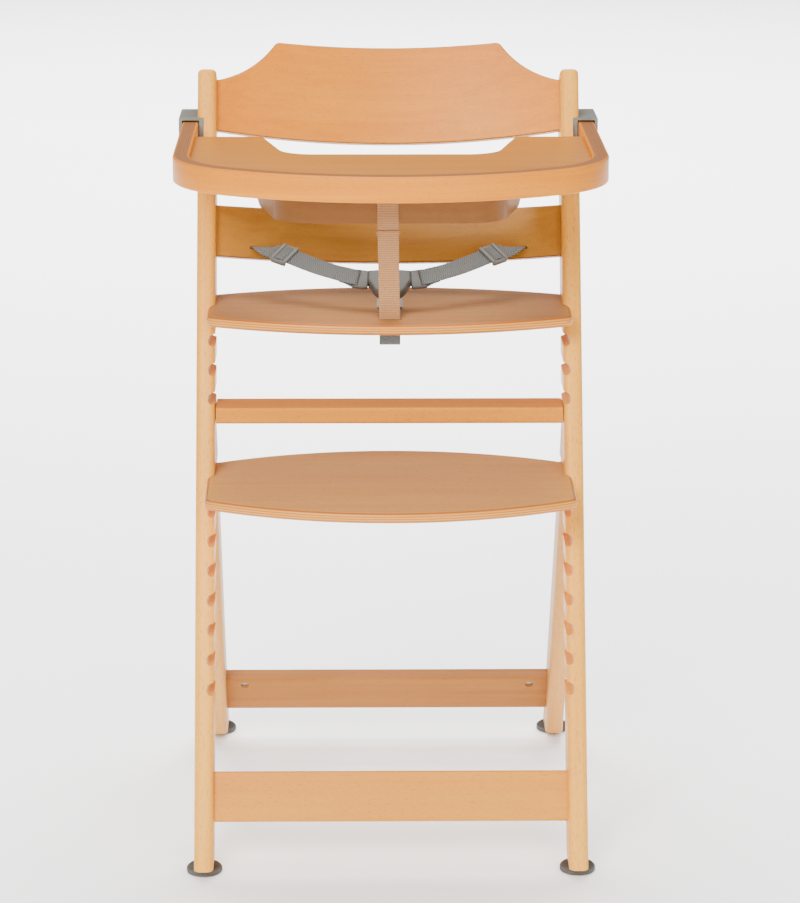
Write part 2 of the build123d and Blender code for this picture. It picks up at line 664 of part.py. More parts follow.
def tray_guard():
    """Bent plywood apron under the edge of the tummy cut-out."""
    face = waist(GUARD_T) - waist(0)
    face = face & Pos(0, PANEL_BACK - BIG / 2) * Rectangle(BIG, BIG)
    apron = extrude(Pos(0, 0, GUARD_LOW) * face, amount=PANEL_LOW - GUARD_LOW)
    heel = block(-BIG, BIG, PANEL_BACK - GUARD_HEEL_R, PANEL_BACK + 1, GUARD_LOW - 1,
                 GUARD_LOW + GUARD_HEEL_R)
    centre_y, centre_z = PANEL_BACK - GUARD_HEEL_R, GUARD_LOW + GUARD_HEEL_R
    heel = heel - rod(GUARD_HEEL_R * 2, (-BIG / 2, centre_y, centre_z), (BIG / 2, centre_y, centre_z))
    return apron - heel - guard_dowels() - tray_strap_screws()


def guard_dowels():
    """Dowels between the panel and the top edge of the guard."""
    slope = (WAIST_W - WAIST_MID_W) / 2 / (PANEL_BACK - WAIST_FRONT)
    side_y = PANEL_BACK - GUARD_DOWEL_SETBACK
    side_x = WAIST_W / 2 - slope * GUARD_DOWEL_SETBACK + GUARD_T / 2
    dowels = []
    for x, y in ((GUARD_DOWEL_X, WAIST_FRONT - GUARD_T / 2), (side_x, side_y)):
        low, high = PANEL_LOW - GUARD_DOWEL_L / 2, PANEL_LOW + GUARD_DOWEL_L / 2
        dowels += both(rod(GUARD_DOWEL_D, (x, y, low), (x, y, high)))
    return dowels


def tray_strap_screws():
    """Round-head screws that hold the webbing to the front of the guard."""
    front = WAIST_FRONT - GUARD_T
    z = PANEL_LOW - TRAY_SCREW_DROP
    screws = []
    for x in (TRAY_STRAP_X - STRAP_W / 4, TRAY_STRAP_X + STRAP_W / 4):
        shank = rod(TRAY_SCREW_D, (x, front - STRAP_T, z), (x, front + GUARD_T - 2, z))
        head = rod(TRAY_SCREW_D * 2, (x, front - STRAP_T - 2, z), (x, front - STRAP_T, z))
        head = fillet(head.faces().sort_by(Axis.Y)[0].edges(), 1.2)
        screws.append(shank + head)
    return screws


# ---------------------------------------------------------------- brackets
def bracket_screw_list():
    """Countersunk screws from inside a +X bracket into its upright."""
    z = (BRACKET_TOP + BRACKET_LOW) / 2
    front = z * LEAN_SIN / LEAN_COS
    screws = []
    for share in (0.32, 0.72):
        y = front + UPRIGHT_DEPTH * share
        head_x = BRACKET_INNER_X - SCREW_HEAD_T
        shank = rod(SCREW_D, (INNER_X + 3, y, z), (head_x + 1, y, z))
        screws.append(shank + rod(SCREW_HEAD_D, (head_x, y, z), (BRACKET_INNER_X, y, z)))
    return screws


def tray_bracket(side):
    """Sleeve on an upright that takes a tray arm, with the latch box below."""
    body = block(DADO_X, BRACKET_X, BRACKET_FRONT, BRACKET_BACK, BRACKET_LOW, BRACKET_TOP)
    body = fillet(body.edges().filter_by(Axis.Y).sort_by(Axis.X)[2:], 1.5)
    box_low = BRACKET_LOW - LATCH_BOX_H
    half = LATCH_BOX_W / 2
    box = block(LATCH_X - half, LATCH_X + half, LATCH_Y - half, LATCH_Y + half, box_low,
                BRACKET_LOW)
    channel = block(BRACKET_INNER_X, BRACKET_OUTER_X, BRACKET_FRONT - 1,
                    BRACKET_BACK - BRACKET_TOP_T, BRACKET_LOW + BRACKET_FLOOR_T,
                    BRACKET_TOP - BRACKET_TOP_T)
    well = rod(LATCH_COLLAR_D + 1, (LATCH_X, LATCH_Y, box_low + 2),
               (LATCH_X, LATCH_Y, BRACKET_LOW))
    bore = rod(LATCH_TOOTH_D + 2 * LATCH_PLAY, (LATCH_X, LATCH_Y, box_low - 1),
               (LATCH_X, LATCH_Y, BRACKET_LOW + BRACKET_FLOOR_T + 1))
    return on_side(body + box - [channel, well, bore] - bracket_screw_list(), side)


def tray_latch(side):
    """Plunger that holds a tray arm, pulled down by its knob."""
    low = RIM_TOP - RIM_H
    tip = low + LATCH_TOOTH_RISE
    box_low = BRACKET_LOW - LATCH_BOX_H
    knob_top = box_low - LATCH_PLAY
    collar_top = BRACKET_LOW - LATCH_PLAY
    at = (LATCH_X, LATCH_Y)
    stem = rod(LATCH_TOOTH_D, (*at, knob_top - 1), (*at, tip))
    stem = chamfer(stem.faces().sort_by(Axis.Z)[-1].edges(), 0.8)
    collar = rod(LATCH_COLLAR_D, (*at, collar_top - LATCH_COLLAR_T), (*at, collar_top))
    knob = rod(LATCH_KNOB_D, (*at, knob_top - LATCH_KNOB_T), (*at, knob_top))
    knob = fillet(knob.edges().filter_by(GeomType.CIRCLE), 1.2)
    return on_side(stem + collar + knob, side)


def latch_spring(side):
    """Spring under the collar of a tray latch."""
    low = BRACKET_LOW - LATCH_BOX_H + 2
    high = BRACKET_LOW - LATCH_PLAY - LATCH_COLLAR_T
    length = high - low - SPRING_WIRE_D
    spring = coil(LATCH_TOOTH_D + 2.6, SPRING_WIRE_D, length, 4)
    return on_side(Pos(LATCH_X, LATCH_Y, low + SPRING_WIRE_D / 2) * spring, side)


# ---------------------------------------------------------------- feet
def foot_insert_outer(y):
    """Space of the threaded insert at the end of a +X leg."""
    x = INNER_X + BOARD_T / 2
    return rod(INSERT_D, (x, y, LEG_Z - 1), (x, y, LEG_Z + INSERT_L + INSERT_HOLE_SPARE))


def foot_insert(y):
    """Threaded insert at the end of a +X leg."""
    x = INNER_X + BOARD_T / 2
    sleeve = rod(INSERT_D, (x, y, LEG_Z), (x, y, LEG_Z + INSERT_L))
    return sleeve - rod(STUD_D + 0.1, (x, y, LEG_Z - 1), (x, y, LEG_Z + INSERT_L + 1))


def foot_disc(side, y):
    """Ribbed disc of a levelling foot."""
    x = INNER_X + BOARD_T / 2
    disc = Cylinder(FOOT_D / 2 - FOOT_RIB_R / 2, FOOT_T, align=(Align.CENTER, Align.CENTER, Align.MIN))
    disc = chamfer(disc.faces().sort_by(Axis.Z)[-1].edges(), 1.8)
    disc = chamfer(disc.faces().sort_by(Axis.Z)[0].edges(), 0.8)
    rib = Cylinder(FOOT_RIB_R, FOOT_T - 3.2, align=(Align.CENTER, Align.CENTER, Align.MIN))
    ribs = PolarLocations(FOOT_D / 2 - FOOT_RIB_R, FOOT_RIBS)
    disc = disc + [Pos(0, 0, 1.2) * place * rib for place in ribs]
    bore = rod(STUD_D + 0.1, (0, 0, FOOT_T / 2), (0, 0, FOOT_T * 2))
    return on_side(Pos(x, y, 0) * (disc - bore), side)


def foot_stud(side, y):
    """Threaded stud of a levelling foot."""
    x = INNER_X + BOARD_T / 2
    stud = rod(STUD_D, (x, y, FOOT_T / 2), (x, y, FOOT_T + STUD_L))
    return on_side(chamfer(stud.faces().sort_by(Axis.Z)[-1].edges(), 1.0), side)


# ---------------------------------------------------------------- harness
def slot_exit():
    """Where the +X lap strap leaves the front of the lower backrest."""
    u = LOWER_BACK_U + SLOT_RISE
    return lean_point(SLOT_X, bend_v(SLOT_X + SLOT_W / 2) - STRAP_T, u)


def tongue_end():
    """Where the +X lap strap meets its tongue."""
    angle = radians(TONGUE_ANGLE)
    reach = BUCKLE_ARM_L + TONGUE_L + TONGUE_GAP
    return HARNESS.from_local_coords(Vector(reach * cos(angle), reach * sin(angle), 0))


def strap_plane():
    """Frame of the +X lap strap: z runs from the backrest slot to the tongue."""
    run = tongue_end() - slot_exit()
    across = -HARNESS.z_dir.cross(run).normalized()
    return Plane(origin=slot_exit(), x_dir=across, z_dir=run)


def lap_strap(side):
    """Lap strap: a stub through the backrest slot, a turn, and the run to the tongue."""
    plane = strap_plane()
    length = (tongue_end() - slot_exit()).length - STRAP_TWIST_L
    run = Pos(0, 0, STRAP_TWIST_L) * Box(STRAP_W, STRAP_T, length,
                                         align=(Align.CENTER, Align.CENTER, Align.MIN))
    u = LOWER_BACK_U + SLOT_RISE
    front = bend_v(SLOT_X + SLOT_W / 2) - STRAP_T
    back = bend_v(SLOT_X - SLOT_W / 2) + PLY_T + 1.5
    stub = block(SLOT_X - STRAP_W / 2, SLOT_X + STRAP_W / 2, front, back, u - STRAP_T / 2,
                 u + STRAP_T / 2)
    mouth = Plane(origin=slot_exit(), x_dir=(1, 0, 0), z_dir=-LEAN.y_dir)
    start = mouth * Rectangle(STRAP_W, STRAP_T)
    end = plane * Pos(0, 0, STRAP_TWIST_L) * Rectangle(STRAP_W, STRAP_T)
    turn = loft([start.face(), end.face()], ruled=True)
    return on_side(plane * run + turn + LEAN * stub, side)


def strap_anchor(side):
    """Bar behind the lower backrest that the lap strap is sewn round."""
    u = LOWER_BACK_U + SLOT_RISE
    back = bend_v(SLOT_X - SLOT_W / 2) + PLY_T + 1.5
    bar = block(SLOT_X - SLOT_W / 2 - 4, SLOT_X + SLOT_W / 2 + 4, back, back + 5, u - 6, u + 6)
    return on_side(LEAN * fillet(bar.edges().filter_by(Axis.X), 1.5), side)


def strap_glide(side):
    """Length adjuster on a lap strap: a flat sleeve with two windows."""
    plane = strap_plane()
    sleeve = Box(GLIDE_W, GLIDE_T, GLIDE_L)
    sleeve = fillet(sleeve.edges().filter_by(Axis.Y), 2.0)
    bore = Box(GLIDE_W - 2 * GLIDE_WALL - 2, GLIDE_T - 2 * GLIDE_WALL + 0.4, GLIDE_L + 1)
    window_l = (GLIDE_L - GLIDE_BAR) / 2 - GLIDE_WALL
    offset = (GLIDE_BAR + window_l) / 2
    windows = [Pos(0, 0, step) * Box(GLIDE_W - 7, GLIDE_T + 1, window_l) for step in (-offset, offset)]
    glide = sleeve - bore - windows
    return on_side(plane * Pos(0, 0, GLIDE_PLACE) * glide, side)


def buckle_outline():
    """Plan of the three-way buckle housing."""
    face = Circle(BUCKLE_R)
    for angle in (TONGUE_ANGLE, 180 - TONGUE_ANGLE, -90):
        face += Rot(0, 0, angle) * Pos(BUCKLE_ARM_L / 2, 0) * Rectangle(BUCKLE_ARM_L, BUCKLE_ARM_W)
    return fillet(face.vertices(), BUCKLE_CORNER_R)


def buckle_body():
    """Buckle housing, with the well for its button."""
    body = extrude(Pos(0, 0, -BUCKLE_T / 2) * buckle_outline(), amount=BUCKLE_T)
    rims = body.faces().sort_by(Axis.Z)
    body = fillet(rims[0].edges() + rims[-1].edges(), 2.5)
    depth = BUTTON_T - BUTTON_PROUD + BUTTON_TRAVEL + 0.5
    well = Pos(0, 0, BUCKLE_T / 2 - depth) * Cylinder(
        BUTTON_D / 2 + BUTTON_PLAY, depth + 1, align=(Align.CENTER, Align.CENTER, Align.MIN))
    return HARNESS * (body - well)


def buckle_button():
    """Round release button of the buckle."""
    button = Cylinder(BUTTON_D / 2, BUTTON_T, align=(Align.CENTER, Align.CENTER, Align.MAX))
    button = fillet(button.faces().sort_by(Axis.Z)[-1].edges(), 1.2)
    return HARNESS * Pos(0, 0, BUCKLE_T / 2 + BUTTON_PROUD) * button


def buckle_spring():
    """Spring under the buckle's button."""
    length = BUTTON_TRAVEL + 0.5 - SPRING_WIRE_D - 0.1
    low = BUCKLE_T / 2 + BUTTON_PROUD - BUTTON_T - BUTTON_TRAVEL - 0.5
    return HARNESS * Pos(0, 0, low + SPRING_WIRE_D / 2) * coil(12.0, SPRING_WIRE_D, length, 1.6)


def buckle_tongue(side):
    """Tongue that joins a lap strap to the buckle."""
    tongue = Pos(BUCKLE_ARM_L + TONGUE_L / 2, 0) * Box(TONGUE_L, TONGUE_W, TONGUE_T)
    tongue = fillet(tongue.edges().filter_by(Axis.Z).sort_by(Axis.X)[2:], 4.0)
    window = Pos(BUCKLE_ARM_L + TONGUE_L - 6.0, 0) * Box(4.0, STRAP_W + 0.6, TONGUE_T * 2)
    return on_side(HARNESS * Rot(0, 0, TONGUE_ANGLE) * (tongue - window), side)


def crotch_strap():
    """Harness strap from the buckle down through the seat slot to its tail."""
    drop = (BUCKLE_Z - SEAT_TOP) / sin(TILT)
    run = block(-STRAP_W / 2, STRAP_W / 2, -drop, -BUCKLE_ARM_L, -STRAP_T / 2, STRAP_T / 2)
    tail = block(-STRAP_W / 2, STRAP_W / 2, SEAT_SLOT_Y - STRAP_T / 2, SEAT_SLOT_Y + STRAP_T / 2,
                 TAIL_LOW, SEAT_TOP + STRAP_T)
    return HARNESS * run + tail


def crotch_adjuster():
    """Small bar adjuster on the crotch strap, just below the buckle."""
    half = ADJUSTER_W / 2
    ring = block(-half, half, -BUCKLE_ARM_L - ADJUSTER_L - 2, -BUCKLE_ARM_L - 2, -2.5, 2.5)
    ring = fillet(ring.edges().filter_by(Axis.Z), 2.0)
    hole = block(1.5 - half, half - 1.5, -BIG, BIG, -STRAP_T / 2, STRAP_T / 2)
    return HARNESS * (ring - hole)


def tray_strap():
    """Webbing on the tray, from its panel past the guard to just over the seat."""
    front = WAIST_FRONT - GUARD_T
    end_z = SEAT_TOP + TRAY_STRAP_GAP
    end_y = SEAT_SLOT_Y - STRAP_T * 3
    profile = make_face(Polyline(
        (front, PANEL_LOW), (front - STRAP_T, PANEL_LOW), (front - STRAP_T, GUARD_LOW),
        (end_y - STRAP_T, end_z), (end_y, end_z), (front, GUARD_LOW), close=True))
    strap = Pos(TRAY_STRAP_X - STRAP_W / 2, 0, 0) * extrude(Plane.YZ * profile, amount=STRAP_W)
    return strap - tray_strap_screws()


# ---------------------------------------------------------------- fasteners
def bolt(y, z):
    """Socket-head bolt through a +X board into its rail."""
    head_x = OUTER_X - BOLT_SINK
    shank = rod(BOLT_D, (INNER_X - BOLT_REACH, y, z), (head_x + 1, y, z))
    head = rod(BOLT_HEAD_D, (head_x, y, z), (head_x + BOLT_HEAD_T, y, z))
    socket_x = head_x + BOLT_HEAD_T
    socket = Pos(socket_x - 2.5, y, z) * Rot(0, 90, 0) * extrude(RegularPolygon(2.3, 6), amount=4)
    return shank + head - socket


def barrel_nut(at, axis, length):
    """Cross nut in a rail for one +X bolt."""
    y, z = at
    centre = Vector(INNER_X - NUT_INSET, y, z)
    nut = rod(NUT_D, centre - axis * (length / 2), centre + axis * (length / 2))
    return nut - rod(BOLT_D, (0, y, z), (INNER_X, y, z))


def side_dowel(at):
    """Dowel between a +X board and its stretcher."""
    y, z = at
    return rod(DOWEL_D, (INNER_X - DOWEL_L / 2, y, z), (INNER_X + DOWEL_L / 2, y, z))


def build():
    """Every sub-part by name, as a list of its solids."""
    nodes = {}
    for name, side in (("left", -1), ("right", 1)):
        nodes[f"{name}_upright"] = [upright(side)]
        nodes[f"{name}_rear_leg"] = [rear_leg(side)]
        nodes[f"{name}_tray_bracket"] = [tray_bracket(side)]
        nodes[f"{name}_tray_latch"] = [tray_latch(side)]
        nodes[f"{name}_latch_spring"] = [latch_spring(side)]
        nodes[f"{name}_strap_anchor"] = [strap_anchor(side)]
        nodes[f"{name}_lap_strap"] = [lap_strap(side)]
        nodes[f"{name}_strap_glide"] = [strap_glide(side)]
        nodes[f"{name}_buckle_tongue"] = [buckle_tongue(side)]
        for place, y in (("front", FRONT_FOOT_Y), ("rear", REAR_FOOT_Y)):
            nodes[f"{place}_{name}_foot_disc"] = [foot_disc(side, y)]
            nodes[f"{place}_{name}_foot_stud"] = [foot_stud(side, y)]
    nodes["front_stretcher"] = [front_stretcher()]
    nodes["rear_stretcher"] = [rear_stretcher()]
    nodes["middle_crossbar"] = [middle_crossbar()]
    nodes["upper_backrest"] = [upper_backrest()]
    nodes["lower_backrest"] = [lower_backrest()]
    nodes["seat_plate"] = [seat_plate()]
    nodes["footrest_plate"] = [footrest_plate()]
    nodes["tray_rim"] = [tray_rim()]
    nodes["tray_panel"] = [tray_panel()]
    nodes["tray_guard"] = [tray_guard()]
    nodes["tray_strap"] = [tray_strap()]
    nodes["tray_strap_screws"] = tray_strap_screws()
    nodes["guard_dowels"] = guard_dowels()
    nodes["buckle_body"] = [buckle_body()]
    nodes["buckle_button"] = [buckle_button()]
    nodes["buckle_spring"] = [buckle_spring()]
    nodes["crotch_strap"] = [crotch_strap()]
    nodes["crotch_adjuster"] = [crotch_adjuster()]
    nodes["front_stretcher_bolts"] = both(bolt(*front_bolt()))
    nodes["rear_stretcher_bolts"] = both(bolt(*rear_bolt()))
    nodes["crossbar_bolts"] = both(bolt(*crossbar_bolt()))
    nodes["stretcher_barrel_nuts"] = both(barrel_nut(front_bolt(), LEAN.y_dir, NUT_L))
    nodes["stretcher_barrel_nuts"] += both(barrel_nut(rear_bolt(), REAR.y_dir, NUT_L))
    nodes["crossbar_barrel_nuts"] = both(barrel_nut(crossbar_bolt(), Vector(0, 0, 1), NUT_L))
    nodes["stretcher_dowels"] = both(side_dowel(front_dowel())) + both(side_dowel(rear_dowel()))
    nodes["leg_joint_dowels"] = [part for dowel in joint_dowel_list() for part in both(dowel)]
    nodes["backrest_screws"] = screw_cuts(backrest_screw_heights())
    nodes["bracket_screws"] = [part for screw in bracket_screw_list() for part in both(screw)]
    nodes["foot_inserts"] = both(foot_insert(FRONT_FOOT_Y)) + both(foot_insert(REAR_FOOT_Y))
    return nodes


def main():
    """Write one STEP file for each sub-part."""
    os.makedirs("parts", exist_ok=True)
    for name, solids in build().items():
        placed = [Pos(0, -MID_Y, 0) * solid for solid in solids]
        shape = placed[0] if len(placed) == 1 else Compound(children=placed)
        export_step(shape, f"parts/{name}.step")


main()
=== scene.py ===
"""Beech high chair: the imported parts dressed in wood, plastic, webbing and zinc.

Metres throughout. +Z is up, -Y is the front, +X is the right seen from the front.
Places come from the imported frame; the sizes below are the makers' own.
"""

from __future__ import annotations

import json
import logging
from dataclasses import dataclass, field
from enum import Enum
from math import atan2, cos, pi, radians, sin, sqrt, tan

import bmesh
import bpy
from mathutils import Matrix, Vector

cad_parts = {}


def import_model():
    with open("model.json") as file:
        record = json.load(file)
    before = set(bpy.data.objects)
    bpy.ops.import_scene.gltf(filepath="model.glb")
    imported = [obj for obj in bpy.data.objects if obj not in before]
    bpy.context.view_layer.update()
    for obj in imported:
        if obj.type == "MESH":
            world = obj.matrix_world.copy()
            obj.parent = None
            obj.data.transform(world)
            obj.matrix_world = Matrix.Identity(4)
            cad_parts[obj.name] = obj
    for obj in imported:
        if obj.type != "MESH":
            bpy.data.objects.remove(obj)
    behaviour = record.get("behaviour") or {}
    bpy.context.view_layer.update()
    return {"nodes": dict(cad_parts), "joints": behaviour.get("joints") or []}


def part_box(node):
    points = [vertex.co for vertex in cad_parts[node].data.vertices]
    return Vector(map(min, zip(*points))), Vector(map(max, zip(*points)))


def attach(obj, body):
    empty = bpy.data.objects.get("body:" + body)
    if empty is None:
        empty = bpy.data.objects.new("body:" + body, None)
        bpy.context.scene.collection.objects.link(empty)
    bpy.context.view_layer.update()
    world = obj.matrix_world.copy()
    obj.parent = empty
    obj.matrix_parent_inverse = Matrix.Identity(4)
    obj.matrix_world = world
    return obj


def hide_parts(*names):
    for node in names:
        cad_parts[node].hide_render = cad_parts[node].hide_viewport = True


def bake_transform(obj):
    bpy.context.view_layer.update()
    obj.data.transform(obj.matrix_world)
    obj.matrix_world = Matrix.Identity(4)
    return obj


LOG = logging.getLogger("high_chair")

UPRIGHT_LEAN = radians(23.14)
REAR_LEG_LEAN = radians(30.5)
INTO_BOARD = Vector((0, cos(UPRIGHT_LEAN), -sin(UPRIGHT_LEAN)))
UP_BOARD = Vector((0, sin(UPRIGHT_LEAN), cos(UPRIGHT_LEAN)))

STRAP_SEWING = {"Spacing": 0.0022, "Stitch Length": 0.0022, "Thread Radius": 0.00032}
TRAY_SEWING = {"Spacing": 0.0022, "Stitch Length": 0.0024, "Thread Radius": 0.00035}

Triple = tuple[float, float, float]
Colour = Triple


def srgb(red: int, green: int, blue: int) -> Colour:
    """Linear colour of an 8-bit screen colour.

    Args:
        red: Red, 0 to 255.
        green: Green, 0 to 255.
        blue: Blue, 0 to 255.

    Returns:
        The same colour in linear light.
    """
    parts = []
    for value in (red, green, blue):
        share = value / 255
        parts.append(share / 12.92 if share <= 0.04045 else ((share + 0.055) / 1.055) ** 2.4)
    return parts[0], parts[1], parts[2]


class Grain(Enum):
    """Which way the wood's fibres run, as the turn that brings them to Z."""

    ACROSS = (0.0, -pi / 2, 0.0)
    UPRIGHT = (UPRIGHT_LEAN, 0.0, 0.0)
    REAR_LEG = (-REAR_LEG_LEAN, 0.0, 0.0)


class Graph:
    """Adds and joins nodes in one tree."""

    def __init__(self, tree: bpy.types.NodeTree) -> None:
        """Keeps the tree to build in."""
        self.tree = tree

    def add(self, kind: str, inputs: dict | None = None, **settings) -> bpy.types.Node:
        """Adds a node.

        Args:
            kind: The node's type.
            inputs: Values or sockets, by socket name or number.
            settings: The node's own properties.

        Returns:
            The node.
        """
        node = self.tree.nodes.new(kind)
        for name, value in settings.items():
            setattr(node, name, value)
        for key, value in (inputs or {}).items():
            if isinstance(value, bpy.types.NodeSocket):
                self.tree.links.new(value, node.inputs[key])
            else:
                node.inputs[key].default_value = value
        return node

    def math(self, operation: str, *values) -> bpy.types.NodeSocket:
        """Adds a Math node on the values and returns its result."""
        return self.add("ShaderNodeMath", dict(enumerate(values)), operation=operation).outputs[0]

    def stretch(self, vector: bpy.types.NodeSocket, scale: Triple) -> bpy.types.NodeSocket:
        """Multiplies a vector by a scale and returns the product."""
        node = self.add("ShaderNodeVectorMath", {0: vector, 1: scale}, operation="MULTIPLY")
        return node.outputs[0]

    def noise(self, vector: bpy.types.NodeSocket, scale: Triple, detail: float = 2.0,
              distortion: float = 0.0) -> bpy.types.NodeSocket:
        """Adds stretched noise.

        Args:
            vector: Coordinates.
            scale: Features per metre along each axis.
            detail: Octaves.
            distortion: How much the pattern is warped.

        Returns:
            The noise, 0 to 1.
        """
        inputs = {"Vector": self.stretch(vector, scale), "Scale": 1.0, "Detail": detail,
                  "Distortion": distortion}
        return self.add("ShaderNodeTexNoise", inputs).outputs["Fac"]

    def ramp(self, factor: bpy.types.NodeSocket, low: float, high: float) -> bpy.types.NodeSocket:
        """Maps low..high of a factor to 0..1, held beyond, and returns it."""
        node = self.add("ShaderNodeMapRange", {"Value": factor, "From Min": low, "From Max": high})
        return node.outputs[0]

    def mix(self, factor, first, second) -> bpy.types.NodeSocket:
        """Mixes two colours.

        Args:
            factor: Share of the second.
            first: Colour or socket.
            second: Colour or socket.

        Returns:
            The mixed colour.
        """
        node = self.add("ShaderNodeMix", {0: factor}, data_type="RGBA")
        for socket, value in ((node.inputs[6], first), (node.inputs[7], second)):
            if isinstance(value, bpy.types.NodeSocket):
                self.tree.links.new(value, socket)
            else:
                socket.default_value = (*value, 1.0)
        return node.outputs[2]


def new_material(name: str) -> tuple[bpy.types.Material, Graph, bpy.types.Node]:
    """Starts a material.

    Args:
        name: Its name.

    Returns:
        The material, its graph and its surface shader.
    """
    material = bpy.data.materials.new(name)
    material.use_nodes = True
    shader = material.node_tree.nodes["Principled BSDF"]
    return material, Graph(material.node_tree), shader


@dataclass(frozen=True)
class Wood:
    """Lacquered beech: soft tone, streaks along the grain and short brown flecks."""

    name: str
    pale: Colour
    warm: Colour
    fleck: Colour = srgb(136, 76, 30)
    grain: Grain = Grain.ACROSS
    roughness: float = 0.42
    fleck_share: float = 0.32

    def coordinates(self, graph: Graph) -> bpy.types.NodeSocket:
        """Object coordinates turned so that the grain runs along Z."""
        where = graph.add("ShaderNodeTexCoord").outputs["Object"]
        turn = {"Vector": where, "Rotation": self.grain.value}
        return graph.add("ShaderNodeMapping", turn).outputs[0]

    def surface(self, graph: Graph) -> tuple[bpy.types.NodeSocket, bpy.types.NodeSocket]:
        """Builds the face pattern.

        Args:
            graph: The material's graph.

        Returns:
            Colour and height.
        """
        grain = self.coordinates(graph)
        tone = graph.noise(grain, (7.0, 7.0, 1.6), 3.0, 0.8)
        streak = graph.noise(grain, (150.0, 150.0, 3.0), 4.0, 0.4)
        arch = graph.noise(grain, (34.0, 34.0, 1.3), 1.0, 1.4)
        flecks = graph.ramp(graph.noise(grain, (900.0, 900.0, 170.0), 1.0), 0.60, 0.70)
        blend = graph.math("ADD", graph.math("MULTIPLY", graph.ramp(tone, 0.32, 0.68), 0.5),
                           graph.math("MULTIPLY", graph.ramp(streak, 0.34, 0.66), 0.28))
        blend = graph.math("ADD", blend, graph.math("MULTIPLY", graph.ramp(arch, 0.42, 0.62), 0.22))
        colour = graph.mix(blend, self.pale, self.warm)
        colour = graph.mix(graph.math("MULTIPLY", flecks, self.fleck_share), colour, self.fleck)
        height = graph.math("SUBTRACT", graph.math("MULTIPLY", streak, 0.5), flecks)
        return colour, height

    def finish(self, graph: Graph, shader: bpy.types.Node, colour, height) -> None:
        """Joins colour and height to the shader under a thin satin lacquer.

        Args:
            graph: The material's graph.
            shader: Its surface shader.
            colour: Base colour.
            height: Surface height, 0 to 1.
        """
        bump = graph.add("ShaderNodeBump", {"Strength": 0.16, "Distance": 0.0002, "Height": height})
        gloss = graph.math("MULTIPLY_ADD", height, -0.05, self.roughness)
        graph.tree.links.new(colour, shader.inputs["Base Color"])
        graph.tree.links.new(gloss, shader.inputs["Roughness"])
        graph.tree.links.new(bump.outputs[0], shader.inputs["Normal"])
        shader.inputs["Specular IOR Level"].default_value = 0.2
        shader.inputs["Coat Weight"].default_value = 0.03
        shader.inputs["Coat Roughness"].default_value = 0.32

    def material(self) -> bpy.types.Material:
        """The finished material."""
        material, graph, shader = new_material(self.name)
        colour, height = self.surface(graph)
        self.finish(graph, shader, colour, height)
        return material


@dataclass(frozen=True)
class Plywood(Wood):
    """Beech plywood: veneered faces, and bare plies on the edges."""

    plies: int = 9
    light_ply: Colour = srgb(216, 148, 60)
    dark_ply: Colour = srgb(184, 112, 40)
    sealed: Colour = srgb(170, 92, 34)
    veneer: float = 0.035
    low: float = 0.0
    thickness: float = 0.013

    def depth(self, graph: Graph) -> bpy.types.NodeSocket:
        """Share of the way through the board, from one face to the other."""
        where = graph.add("ShaderNodeTexCoord").outputs["Object"]
        height = graph.add("ShaderNodeSeparateXYZ", {0: where}).outputs[2]
        return graph.math("DIVIDE", graph.math("SUBTRACT", height, self.low), self.thickness)

    def material(self) -> bpy.types.Material:
        """The finished material."""
        material, graph, shader = new_material(self.name)
        face, height = self.surface(graph)
        depth = self.depth(graph)
        ply = graph.math("PINGPONG", graph.math("MULTIPLY", depth, float(self.plies)), 1.0)
        edge = graph.mix(graph.ramp(ply, 0.35, 0.65), self.dark_ply, self.light_ply)
        from_face = graph.math("PINGPONG", depth, 0.5)
        skin = graph.math("SUBTRACT", 1.0, graph.ramp(from_face, 0.13, 0.15))
        edge = graph.mix(graph.math("MULTIPLY", skin, 0.8), edge, self.sealed)
        is_edge = graph.ramp(from_face, self.veneer * 0.6, self.veneer)
        self.finish(graph, shader, graph.mix(is_edge, face, edge), height)
        return material


@dataclass(frozen=True)
class BentPlywood(Plywood):
    """Plywood bent about an axis that runs along the uprights."""

    origin_y: float = 0.0
    bend_radius: float = 0.620
    bend_centre: float = 0.0

    def depth(self, graph: Graph) -> bpy.types.NodeSocket:
        """Share of the way through the bent board, from its hollow face."""
        where = graph.add("ShaderNodeTexCoord").outputs["Object"]
        shift = graph.add("ShaderNodeVectorMath", {0: where, 1: (0.0, -self.origin_y, 0.0)})
        turned = graph.add("ShaderNodeMapping",
                           {"Vector": shift.outputs[0], "Rotation": Grain.UPRIGHT.value})
        parts = graph.add("ShaderNodeSeparateXYZ", {0: turned.outputs[0]})
        back = graph.math("SUBTRACT", parts.outputs[1], self.bend_centre)
        squares = graph.math("ADD", graph.math("POWER", parts.outputs[0], 2.0),
                             graph.math("POWER", back, 2.0))
        radius = graph.math("SQRT", squares)
        into = graph.math("SUBTRACT", radius, self.bend_radius)
        return graph.math("DIVIDE", into, self.thickness)


